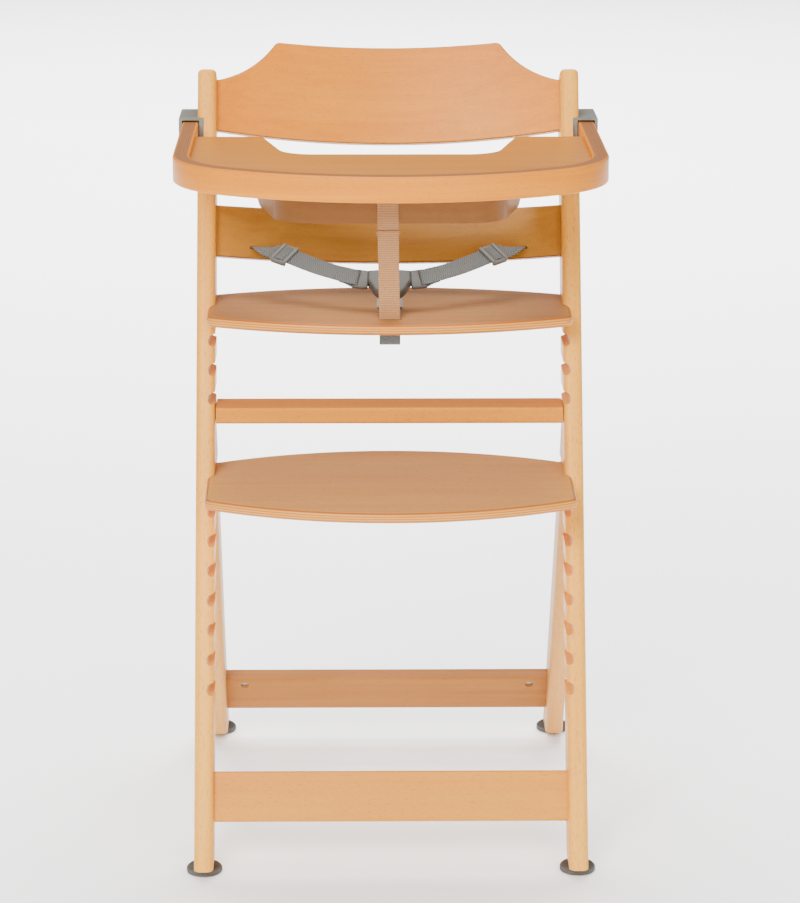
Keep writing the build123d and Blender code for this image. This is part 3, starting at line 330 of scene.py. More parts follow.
@dataclass(frozen=True)
class Laminate(Wood):
    """Bent lamination whose strips follow the rim, read from the sweep's own values."""

    glue: Colour = srgb(84, 52, 46)
    strips: float = 7.0

    def material(self) -> bpy.types.Material:
        """The finished material."""
        material, graph, shader = new_material(self.name)
        along = graph.add("ShaderNodeAttribute", attribute_name="along").outputs["Fac"]
        across = graph.add("ShaderNodeAttribute", attribute_name="across").outputs["Fac"]
        where = graph.add("ShaderNodeTexCoord").outputs["Object"]
        height = graph.add("ShaderNodeSeparateXYZ", {0: where}).outputs[2]
        grain = graph.add("ShaderNodeCombineXYZ", {0: across, 1: height, 2: along}).outputs[0]
        tone = graph.noise(grain, (16.0, 16.0, 2.2), 3.0, 0.8)
        streak = graph.noise(grain, (210.0, 160.0, 3.5), 4.0, 0.4)
        flecks = graph.ramp(graph.noise(grain, (900.0, 900.0, 170.0), 1.0), 0.60, 0.70)
        blend = graph.math("ADD", graph.math("MULTIPLY", graph.ramp(tone, 0.3, 0.7), 0.6),
                           graph.math("MULTIPLY", graph.ramp(streak, 0.35, 0.65), 0.4))
        colour = graph.mix(blend, self.pale, self.warm)
        colour = graph.mix(graph.math("MULTIPLY", flecks, self.fleck_share), colour, self.fleck)
        inside = graph.math("PINGPONG", across, 0.5)
        strip = graph.math("PINGPONG", graph.math("MULTIPLY", across, self.strips), 0.5)
        lines = graph.ramp(strip, 0.18, 0.05)
        waver = graph.ramp(graph.noise(grain, (420.0, 60.0, 8.0), 2.0), 0.35, 0.65)
        core = graph.ramp(inside, 0.13, 0.17)
        core = graph.math("MULTIPLY", core, graph.math("MULTIPLY_ADD", waver, 0.35, 0.45))
        lines = graph.math("MULTIPLY", lines, graph.ramp(inside, 0.10, 0.14))
        core = graph.math("MAXIMUM", core, lines)
        colour = graph.mix(graph.math("MULTIPLY", core, 0.95), colour, self.glue)
        height = graph.math("SUBTRACT", graph.math("MULTIPLY", streak, 0.5), flecks)
        self.finish(graph, shader, colour, height)
        return material


@dataclass(frozen=True)
class Plastic:
    """Moulded plastic with a fine spark-eroded texture."""

    name: str
    base: Colour
    shade: Colour
    roughness: float = 0.48

    def material(self) -> bpy.types.Material:
        """The finished material."""
        material, graph, shader = new_material(self.name)
        where = graph.add("ShaderNodeTexCoord").outputs["Object"]
        pores = graph.noise(where, (1400.0, 1400.0, 1400.0), 2.0)
        cloud = graph.noise(where, (45.0, 45.0, 45.0), 3.0)
        colour = graph.mix(graph.ramp(cloud, 0.3, 0.7), self.base, self.shade)
        bump = graph.add("ShaderNodeBump", {"Strength": 0.25, "Distance": 0.00012, "Height": pores})
        gloss = graph.math("MULTIPLY_ADD", cloud, 0.12, self.roughness - 0.06)
        graph.tree.links.new(colour, shader.inputs["Base Color"])
        graph.tree.links.new(gloss, shader.inputs["Roughness"])
        graph.tree.links.new(bump.outputs[0], shader.inputs["Normal"])
        return material


@dataclass(frozen=True)
class Webbing:
    """Narrow woven strap, its pattern laid out in metres on the strap's UV map."""

    name: str
    thread: Colour
    gap: Colour
    pitch: float = 0.0029
    herringbone: float = 0.0042
    slant: float = 0.9

    def material(self) -> bpy.types.Material:
        """The finished material."""
        material, graph, shader = new_material(self.name)
        where = graph.add("ShaderNodeTexCoord")
        place = graph.add("ShaderNodeSeparateXYZ", {0: where.outputs["UV"]})
        across, along = place.outputs[0], place.outputs[1]
        zigzag = graph.math("PINGPONG", across, self.herringbone)
        zigzag = graph.math("DIVIDE", zigzag, self.herringbone)
        lean = graph.math("MULTIPLY", zigzag, self.slant)
        phase = graph.math("MULTIPLY_ADD", along, 1 / self.pitch, lean)
        wave = graph.math("SINE", graph.math("MULTIPLY", phase, 2 * pi))
        wave = graph.math("MULTIPLY_ADD", wave, 0.5, 0.5)
        rib = graph.math("PINGPONG", graph.math("DIVIDE", across, 0.0009), 0.5)
        height = graph.math("ADD", graph.math("MULTIPLY", wave, 0.7),
                            graph.math("MULTIPLY", rib, 0.6))
        fuzz = graph.noise(where.outputs["Object"], (900.0, 900.0, 900.0), 2.0)
        share = graph.math("ADD", graph.math("MULTIPLY", height, 0.75),
                           graph.math("MULTIPLY", fuzz, 0.3))
        colour = graph.mix(graph.ramp(share, 0.1, 1.0), self.gap, self.thread)
        bump = graph.add("ShaderNodeBump", {"Strength": 0.75, "Distance": 0.0005, "Height": height})
        graph.tree.links.new(colour, shader.inputs["Base Color"])
        graph.tree.links.new(bump.outputs[0], shader.inputs["Normal"])
        shader.inputs["Roughness"].default_value = 0.85
        shader.inputs["Sheen Weight"].default_value = 0.25
        shader.inputs["Sheen Roughness"].default_value = 0.4
        return material


@dataclass(frozen=True)
class Zinc:
    """Bright zinc plating with a little dull clouding."""

    name: str
    base: Colour = srgb(196, 198, 200)

    def material(self) -> bpy.types.Material:
        """The finished material."""
        material, graph, shader = new_material(self.name)
        where = graph.add("ShaderNodeTexCoord").outputs["Object"]
        cloud = graph.noise(where, (320.0, 320.0, 320.0), 3.0)
        colour = graph.mix(graph.ramp(cloud, 0.3, 0.7), self.base, srgb(160, 162, 166))
        graph.tree.links.new(colour, shader.inputs["Base Color"])
        dullness = graph.math("MULTIPLY_ADD", cloud, 0.3, 0.2)
        graph.tree.links.new(dullness, shader.inputs["Roughness"])
        shader.inputs["Metallic"].default_value = 1.0
        return material


# ------------------------------------------------------------------ mesh work
def add_object(name: str, mesh: bpy.types.Mesh, material: bpy.types.Material) -> bpy.types.Object:
    """Links a mesh at the origin.

    Args:
        name: The piece's name.
        mesh: Its mesh.
        material: Its finish.

    Returns:
        The object.
    """
    piece = bpy.data.objects.new(name, mesh)
    mesh.name = name
    mesh.materials.clear()
    mesh.materials.append(material)
    bpy.context.scene.collection.objects.link(piece)
    return piece


def smooth_by_angle(mesh: bpy.types.Mesh, degrees: float) -> None:
    """Smooth shading with the edges above an angle kept sharp.

    Args:
        mesh: The mesh to set.
        degrees: Edges that fold more than this stay sharp.
    """
    work = bmesh.new()
    work.from_mesh(mesh)
    for face in work.faces:
        face.smooth = True
    for edge in work.edges:
        edge.smooth = len(edge.link_faces) == 2 and edge.calc_face_angle(0.0) < radians(degrees)
    work.to_mesh(mesh)
    work.free()


def rounded_box(work: bmesh.types.BMesh, place: Matrix, size: Triple, radius: float) -> None:
    """Adds a box with rounded edges.

    Args:
        work: The mesh to add to.
        place: Where its middle is, and its axes.
        size: Its three sizes.
        radius: Rounding of its edges.
    """
    made = bmesh.ops.create_cube(work, size=1.0, matrix=place @ Matrix.Diagonal((*size, 1.0)))
    edges = {edge for vert in made["verts"] for edge in vert.link_edges}
    bmesh.ops.bevel(work, geom=list(edges), offset=radius, segments=3, profile=0.5, affect="EDGES")


@dataclass(frozen=True)
class Station:
    """One place on a strap: its middle, its width's direction and its face's normal."""

    middle: Vector
    across: Vector
    normal: Vector


@dataclass(frozen=True)
class Strap:
    """Section of a strap, with softened selvedges."""

    width: float = 0.025
    thickness: float = 0.0016
    selvedge: float = 0.0007
    divisions: int = 6

    def section(self) -> list[tuple[float, float]]:
        """The section's points, across and out, once round."""
        half = self.width / 2
        inner = half - self.selvedge
        steps = [(inner * (2 * i / self.divisions - 1), self.thickness / 2)
                 for i in range(self.divisions + 1)]
        edge = (half - self.selvedge * 0.2, self.thickness * 0.3)
        top = [(-edge[0], edge[1]), *steps, edge]
        below = [(x, -y) for x, y in reversed(top)]
        return [(-half, 0.0), *top, (half, 0.0), *below]

    def build(self, work: bmesh.types.BMesh, stations: list[Station], closed: bool = False) -> None:
        """Adds a strap through the stations, with its UV map in metres.

        Args:
            work: The mesh to add to.
            stations: Places along the strap.
            closed: True where the last station meets the first.
        """
        points = self.section()
        layer = work.loops.layers.uv.verify()
        rings, lengths, length = [], [], 0.0
        for index, at in enumerate(stations):
            if index:
                length += (at.middle - stations[index - 1].middle).length
            lengths.append(length)
            rings.append([work.verts.new(at.middle + at.across * x + at.normal * y)
                          for x, y in points])
        pairs = [(i, i + 1) for i in range(len(rings) - 1)]
        if closed:
            pairs.append((len(rings) - 1, 0))
        count = len(points)
        whole = length + (stations[0].middle - stations[-1].middle).length
        for low, high in pairs:
            end = lengths[high] if high else whole
            for side in range(count):
                other = (side + 1) % count
                face = work.faces.new((rings[low][side], rings[low][other],
                                       rings[high][other], rings[high][side]))
                places = ((points[side][0], lengths[low]), (points[other][0], lengths[low]),
                          (points[other][0], end), (points[side][0], end))
                for loop, uv in zip(face.loops, places):
                    loop[layer].uv = uv
        if not closed:
            work.faces.new(reversed(rings[0]))
            work.faces.new(rings[-1])


def strap_piece(name: str, work: bmesh.types.BMesh,
                material: bpy.types.Material) -> bpy.types.Object:
    """Turns finished strap work into a piece with outward faces.

    Args:
        name: The piece's name.
        work: Its mesh, which is freed.
        material: Its finish.

    Returns:
        The piece.
    """
    bmesh.ops.recalc_face_normals(work, faces=work.faces)
    mesh = bpy.data.meshes.new(name)
    work.to_mesh(mesh)
    work.free()
    smooth_by_angle(mesh, 50)
    return add_object(name, mesh, material)


def smoothstep(share: float) -> float:
    """Eases 0..1 in and out."""
    held = min(max(share, 0.0), 1.0)
    return held * held * (3 - 2 * held)


# ------------------------------------------------------------------ geometry nodes
@dataclass
class GeometryTree:
    """A geometry node tree with named inputs that ends in one material."""

    name: str
    inputs: dict[str, str]
    tree: bpy.types.NodeTree = field(init=False)
    graph: Graph = field(init=False)
    start: bpy.types.Node = field(init=False)

    def __post_init__(self) -> None:
        """Makes the empty tree and its sockets."""
        self.tree = bpy.data.node_groups.new(self.name, "GeometryNodeTree")
        face = self.tree.interface
        face.new_socket("Geometry", in_out="OUTPUT", socket_type="NodeSocketGeometry")
        face.new_socket("Geometry", in_out="INPUT", socket_type="NodeSocketGeometry")
        for label, kind in self.inputs.items():
            face.new_socket(label, in_out="INPUT", socket_type=kind)
        face.new_socket("Material", in_out="INPUT", socket_type="NodeSocketMaterial")
        self.graph = Graph(self.tree)
        self.start = self.graph.add("NodeGroupInput")

    def close(self, geometry: bpy.types.NodeSocket) -> None:
        """Realizes the geometry, gives it the material and ends the tree."""
        real = self.graph.add("GeometryNodeRealizeInstances", {0: geometry})
        inputs = {"Geometry": real.outputs[0], "Material": self.start.outputs["Material"]}
        dressed = self.graph.add("GeometryNodeSetMaterial", inputs)
        self.graph.add("NodeGroupOutput", {0: dressed.outputs[0]})

    def apply(self, name: str, source: bpy.types.Object, values: dict[str, object],
              material: bpy.types.Material) -> bpy.types.Object:
        """Runs the tree on a source object and keeps the plain mesh.

        Args:
            name: The new piece's name.
            source: Object that carries the input geometry; it is removed.
            values: Input values by name.
            material: The finish.

        Returns:
            The new piece, with no modifier.
        """
        modifier = source.modifiers.new(self.name, "NODES")
        modifier.node_group = self.tree
        wanted = {**values, "Material": material}
        for item in self.tree.interface.items_tree:
            if item.item_type == "SOCKET" and item.in_out == "INPUT" and item.name in wanted:
                modifier[item.identifier] = wanted[item.name]
        depsgraph = bpy.context.evaluated_depsgraph_get()
        mesh = bpy.data.meshes.new_from_object(source.evaluated_get(depsgraph))
        bpy.data.objects.remove(source)
        return add_object(name, mesh, material)


def path_object(name: str, lines: list[list[Vector]]) -> bpy.types.Object:
    """Links a curve of open lines.

    Args:
        name: The object's name.
        lines: Points of each line.

    Returns:
        The curve object.
    """
    curve = bpy.data.curves.new(name, "CURVE")
    curve.dimensions = "3D"
    for line in lines:
        spline = curve.splines.new("POLY")
        spline.points.add(len(line) - 1)
        for point, place in zip(spline.points, line):
            point.co = (*place, 1.0)
    source = bpy.data.objects.new(name, curve)
    bpy.context.scene.collection.objects.link(source)
    return source


def stitch_tree() -> GeometryTree:
    """Tree that lays short threads end to end along lines."""
    stitches = GeometryTree("stitches", {"Spacing": "NodeSocketFloat",
                                         "Stitch Length": "NodeSocketFloat",
                                         "Thread Radius": "NodeSocketFloat"})
    graph, start = stitches.graph, stitches.start
    points = graph.add("GeometryNodeResampleCurve",
                       {"Curve": start.outputs["Geometry"], "Length": start.outputs["Spacing"]},
                       mode="LENGTH")
    tangent = graph.add("GeometryNodeInputTangent")
    turn = graph.add("FunctionNodeAlignRotationToVector", {"Vector": tangent.outputs[0]}, axis="Z")
    bead = graph.add("GeometryNodeMeshUVSphere", {"Segments": 6, "Rings": 5, "Radius": 1.0})
    half = graph.math("MULTIPLY", start.outputs["Stitch Length"], 0.5)
    size = graph.add("ShaderNodeCombineXYZ", {0: start.outputs["Thread Radius"],
                                              1: start.outputs["Thread Radius"], 2: half})
    laid = graph.add("GeometryNodeInstanceOnPoints",
                     {"Points": points.outputs[0], "Instance": bead.outputs[0],
                      "Rotation": turn.outputs[0], "Scale": size.outputs[0]})
    stitches.close(laid.outputs[0])
    return stitches


def thread_tree() -> GeometryTree:
    """Tree that winds a screw thread up a stud."""
    screw = GeometryTree("screw_thread", {"Height": "NodeSocketFloat", "Turns": "NodeSocketFloat",
                                          "Radius": "NodeSocketFloat", "Ridge": "NodeSocketFloat",
                                          "Foot": "NodeSocketVector"})
    graph, start = screw.graph, screw.start
    spiral = graph.add("GeometryNodeCurveSpiral",
                       {"Resolution": 18, "Rotations": start.outputs["Turns"],
                        "Start Radius": start.outputs["Radius"],
                        "End Radius": start.outputs["Radius"],
                        "Height": start.outputs["Height"]})
    ridge = graph.add("GeometryNodeCurvePrimitiveCircle",
                      {"Resolution": 4, "Radius": start.outputs["Ridge"]})
    wound = graph.add("GeometryNodeCurveToMesh",
                      {"Curve": spiral.outputs[0], "Profile Curve": ridge.outputs[0],
                       "Fill Caps": True})
    placed = graph.add("GeometryNodeTransform", {"Geometry": wound.outputs[0],
                                                 "Translation": start.outputs["Foot"]})
    screw.close(placed.outputs[0])
    return screw


def rim_tree() -> GeometryTree:
    """Tree that sweeps the rim's section along its plan and keeps across and along."""
    sweep = GeometryTree("rim_sweep", {"Thickness": "NodeSocketFloat", "Height": "NodeSocketFloat",
                                       "Edge Radius": "NodeSocketFloat"})
    graph, start = sweep.graph, sweep.start
    upright = graph.add("GeometryNodeSetCurveNormal", {"Curve": start.outputs["Geometry"]},
                        mode="Z_UP")
    length = graph.add("GeometryNodeSplineParameter").outputs["Length"]
    path = graph.add("GeometryNodeStoreNamedAttribute",
                     {"Geometry": upright.outputs[0], "Name": "along", "Value": length},
                     data_type="FLOAT", domain="POINT")
    box = graph.add("GeometryNodeCurvePrimitiveQuadrilateral",
                    {"Width": start.outputs["Thickness"], "Height": start.outputs["Height"]})
    soft = graph.add("GeometryNodeFilletCurve",
                     {"Curve": box.outputs[0], "Count": 4, "Radius": start.outputs["Edge Radius"]},
                     mode="POLY")
    position = graph.add("GeometryNodeInputPosition").outputs[0]
    place = graph.add("ShaderNodeSeparateXYZ", {0: position})
    share = graph.math("DIVIDE", place.outputs[0], start.outputs["Thickness"])
    section = graph.add("GeometryNodeStoreNamedAttribute",
                        {"Geometry": soft.outputs[0], "Name": "across",
                         "Value": graph.math("ADD", share, 0.5)}, data_type="FLOAT", domain="POINT")
    swept = graph.add("GeometryNodeCurveToMesh",
                      {"Curve": path.outputs[0], "Profile Curve": section.outputs[0],
                       "Fill Caps": True})
    sweep.close(swept.outputs[0])
    return sweep


# ------------------------------------------------------------------ finishes
@dataclass(frozen=True)
class Finishes:
    """Every finish of the chair, made once."""

    upright: bpy.types.Material
    rear_leg: bpy.types.Material
    rail: bpy.types.Material
    rear_rail: bpy.types.Material
    seat: bpy.types.Material
    footrest: bpy.types.Material
    upper_back: bpy.types.Material
    lower_back: bpy.types.Material
    panel: bpy.types.Material
    guard: bpy.types.Material
    rim: bpy.types.Material
    dowel: bpy.types.Material
    plastic: bpy.types.Material
    dark_plastic: bpy.types.Material
    buckle_plastic: bpy.types.Material
    grey_strap: bpy.types.Material
    beige_strap: bpy.types.Material
    grey_thread: bpy.types.Material
    beige_thread: bpy.types.Material
    zinc: bpy.types.Material


BENT_END_V = 0.0184
BENT_RADIUS = 0.620


def lean_origin_y() -> float:
    """Y where the uprights' front line meets the floor."""
    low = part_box("left_upright")[0]
    return low[1] - low[2] * tan(UPRIGHT_LEAN)


def bent_ply(name: str, pale: Colour, warm: Colour) -> bpy.types.Material:
    """Makes a backrest's plywood.

    Args:
        name: The material's name.
        pale: Lighter wood.
        warm: Darker wood.

    Returns:
        The material.
    """
    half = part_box("lower_backrest")[1][0]
    centre = BENT_END_V - sqrt(BENT_RADIUS ** 2 - half ** 2)
    return BentPlywood(name, pale, warm, thickness=0.012, veneer=0.045, origin_y=lean_origin_y(),
                       bend_radius=BENT_RADIUS, bend_centre=centre, sealed=srgb(104, 56, 22),
                       roughness=0.40).material()


def flat_ply(name: str, node: str, pale: Colour, warm: Colour) -> bpy.types.Material:
    """Makes a flat board's plywood.

    Args:
        name: The material's name.
        node: The board it is for.
        pale: Lighter wood.
        warm: Darker wood.

    Returns:
        The material.
    """
    low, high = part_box(node)
    return Plywood(name, pale, warm, low=low[2], thickness=high[2] - low[2]).material()


def make_finishes() -> Finishes:
    """Makes every finish once."""
    pale, warm = srgb(246, 179, 68), srgb(228, 152, 46)
    rail = Wood("beech_rail", srgb(221, 146, 34), srgb(204, 124, 22))
    return Finishes(
        upright=Wood("beech_upright", pale, warm, grain=Grain.UPRIGHT).material(),
        rear_leg=Wood("beech_rear_leg", srgb(223, 169, 93), srgb(205, 143, 69),
                      grain=Grain.REAR_LEG).material(),
        rail=rail.material(),
        # rear stretcher: a darker copy of the rail's beech, painted shade under the seat
        rear_rail=Wood("beech_rear_rail_painted_shade", srgb(173, 115, 48), srgb(151, 93, 34)).material(),
        # seat: a darker copy of the footrest's ply, painted shade under the tray
        seat=flat_ply("ply_seat_painted_shade", "seat_plate", srgb(182, 130, 76), srgb(167, 113, 62)),
        footrest=flat_ply("ply_footrest", "footrest_plate", srgb(213, 158, 88), srgb(197, 138, 72)),
        upper_back=bent_ply("ply_upper_back", srgb(226, 140, 20), srgb(204, 114, 10)),
        # lower backrest: a darker copy of the upper backrest's ply, painted shade below the tray
        lower_back=bent_ply("ply_lower_back_painted_shade", srgb(188, 130, 44), srgb(166, 104, 28)),
        panel=Wood("ply_panel", srgb(192, 125, 42), srgb(174, 106, 30), roughness=0.38).material(),
        # guard: a darker copy of the panel's beech, painted shade on the guard below the tray's
        # edge
        guard=Wood("ply_guard_painted_shade", srgb(144, 97, 46), srgb(127, 80, 36)).material(),
        rim=Laminate("laminated_rim", srgb(221, 137, 14), srgb(200, 113, 8)).material(),
        dowel=Wood("dowel_beech", pale, warm, roughness=0.6).material(),
        plastic=Plastic("grey_plastic", srgb(118, 118, 110), srgb(104, 104, 98)).material(),
        dark_plastic=Plastic("foot_plastic", srgb(84, 82, 76), srgb(72, 70, 66), 0.55).material(),
        buckle_plastic=Plastic("buckle_plastic", srgb(86, 84, 78), srgb(76, 74, 69),
                               0.5).material(),
        grey_strap=Webbing("grey_webbing", srgb(132, 134, 130), srgb(66, 68, 66)).material(),
        beige_strap=Webbing("beige_webbing", srgb(208, 154, 101), srgb(132, 86, 50),
                            herringbone=0.0016, slant=0.5).material(),
        grey_thread=Plastic("grey_thread", srgb(108, 108, 104), srgb(92, 92, 90), 0.8).material(),
        beige_thread=Plastic("beige_thread", srgb(196, 142, 92), srgb(176, 122, 76),
                             0.8).material(),
        zinc=Zinc("zinc_plate").material(),
    )


@dataclass
class Woodwork:
    """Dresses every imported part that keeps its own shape."""

    nodes: dict[str, bpy.types.Object]
    finishes: Finishes

    def finish_for(self, name: str) -> bpy.types.Material:
        """The finish of a part, by its name."""
        own = self.finishes
        plain = {
            "front_stretcher": own.rail, "middle_crossbar": own.rail,
            "rear_stretcher": own.rear_rail, "seat_plate": own.seat,
            "footrest_plate": own.footrest, "upper_backrest": own.upper_back,
            "lower_backrest": own.lower_back, "tray_panel": own.panel, "tray_guard": own.guard,
            "tray_rim": own.panel, "tray_strap": own.beige_strap, "crotch_strap": own.grey_strap,
            "guard_dowels": own.dowel, "stretcher_dowels": own.dowel, "leg_joint_dowels": own.dowel,
        }
        if name in plain:
            return plain[name]
        endings = {
            "_upright": own.upright, "_rear_leg": own.rear_leg, "_lap_strap": own.grey_strap,
            "_foot_disc": own.dark_plastic, "_bracket": own.plastic, "_latch": own.dark_plastic,
            "_anchor": own.dark_plastic, "_glide": own.plastic, "_tongue": own.plastic,
            "buckle_body": own.plastic, "buckle_button": own.dark_plastic, "_adjuster": own.plastic,
        }
        for ending, finish in endings.items():
            if name.endswith(ending):
                return finish
        return own.zinc

    def dress(self) -> None:
        """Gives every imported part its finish."""
        for name, part in self.nodes.items():
            finish = self.finish_for(name)
            part.data.materials.clear()
            part.data.materials.append(finish)
            LOG.info("dressed %s in %s", name, finish.name)


@dataclass
class Tray:
    """The tray's bent rim and its webbing."""

    finishes: Finishes
    stitches: GeometryTree
    rim_thickness: float = 0.0195
    edge_radius: float = 0.002
    bow_radius: float = 0.380
    corner_radius: float = 0.120
    arc_step: float = radians(1.5)
    seam_below_guard: float = 0.014
    fold_length: float = 0.006
    lean_right: float = 0.0026
    slack: float = 0.004

    def plan(self) -> list[Vector]:
        """Middle line of the rim, from the left arm's end round to the right's."""
        low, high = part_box("tray_rim")
        middle_z = (low[2] + high[2]) / 2
        inset = self.rim_thickness / 2
        corner_x = high[0] - self.corner_radius
        reach = self.bow_radius - self.corner_radius
        bow_y = low[1] + self.bow_radius
        corner_y = bow_y - sqrt(reach ** 2 - corner_x ** 2)
        meet = atan2(corner_x, bow_y - corner_y)
        half = [Vector((high[0] - inset, high[1], middle_z))]
        count = round((pi / 2 - meet) / self.arc_step)
        for index in range(count + 1):
            angle = pi / 2 + (meet - pi / 2) * index / count
            radius = self.corner_radius - inset
            half.append(Vector((corner_x + radius * sin(angle), corner_y - radius * cos(angle),
                                middle_z)))
        count = round(meet / self.arc_step)
        for index in range(1, count + 1):
            angle = meet * (1 - index / count)
            radius = self.bow_radius - inset
            half.append(Vector((radius * sin(angle), bow_y - radius * cos(angle), middle_z)))
        mirrored = [Vector((-point.x, point.y, point.z)) for point in half[:-1]]
        return mirrored + half[::-1]

    def rim(self) -> None:
        """Builds the rim as one sweep."""
        low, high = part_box("tray_rim")
        values = {"Thickness": self.rim_thickness, "Height": high[2] - low[2],
                  "Edge Radius": self.edge_radius}
        piece = rim_tree().apply("laminated_rim", path_object("rim_path", [self.plan()]), values,
                                 self.finishes.rim)
        smooth_by_angle(piece.data, 35)
        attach(piece, "tray")
        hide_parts("tray_rim")
        LOG.info("rim %d faces", len(piece.data.polygons))

    def webbing(self) -> None:
        """Builds the strap that hangs from the panel past the guard."""
        low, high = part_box("tray_strap")
        guard_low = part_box("tray_guard")[0][2]
        strap = Strap(width=high[0] - low[0])
        middle_x = (low[0] + high[0]) / 2
        half = strap.thickness / 2
        top = Vector((middle_x, low[1] + half, high[2] - 0.0005))
        knee = Vector((middle_x, low[1] + half, guard_low + 0.004))
        foot = Vector((middle_x + self.lean_right, high[1] - 0.0025, low[2] + 0.0012))
        line = [top.lerp(knee, i / 10) for i in range(10)]
        line += [knee.lerp(foot, i / 24) + Vector((0, self.slack * sin(pi * i / 24), 0))
                 for i in range(25)]
        work = bmesh.new()
        stations = self.stations(line)
        strap.build(work, stations)
        seam_z = guard_low - self.seam_below_guard
        seam = min(stations, key=lambda at: abs(at.middle.z - seam_z))
        run = seam.across.cross(seam.normal).normalized()
        layer = seam.normal * strap.thickness * 0.9
        fold = [Station(seam.middle + layer + run * self.fold_length * (i / 4 - 0.5),
                        seam.across, seam.normal) for i in range(5)]
        wide = Strap(width=strap.width + 0.0012, thickness=strap.thickness * 1.1)
        wide.build(work, fold)
        for sign in (-1, 1):
            beside = seam.across * sign * (strap.width / 2 + 0.0008)
            nub = Matrix.Translation(seam.middle + layer + beside)
            rounded_box(work, nub, (0.0018, 0.0024, 0.0034), 0.0007)
        piece = strap_piece("tray_webbing", work, self.finishes.beige_strap)
        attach(piece, "tray")
        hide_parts("tray_strap")
        rows = []
        for at in (fold[1], fold[-2]):
            rows.append(self.row(at, strap))
        for back in range(2, 7):
            rows.append(self.row(stations[-back], strap))
        sewn = self.stitches.apply("tray_webbing_stitches", path_object("tray_rows", rows),
                                   TRAY_SEWING, self.finishes.beige_thread)
        smooth_by_angle(sewn.data, 80)
        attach(sewn, "tray")
        LOG.info("tray webbing %d stations", len(stations))

    def row(self, at: Station, strap: Strap) -> list[Vector]:
        """A stitch row across a strap, on its front face."""
        reach = strap.width / 2 - 0.002
        lift = at.normal * (strap.thickness / 2)
        return [at.middle - at.across * reach + lift, at.middle + at.across * reach + lift]

    def stations(self, line: list[Vector]) -> list[Station]:
        """Stations along a line in the chair's middle plane, faces to the front."""
        across = Vector((1, 0, 0))
        found = []
        for index, point in enumerate(line):
            run = line[min(index + 1, len(line) - 1)] - line[max(index - 1, 0)]
            normal = run.normalized().cross(across)
            found.append(Station(point, across, normal if normal.y < 0 else -normal))
        return found

    def build(self) -> None:
        """Builds the tray's own pieces."""
        self.rim()
        self.webbing()


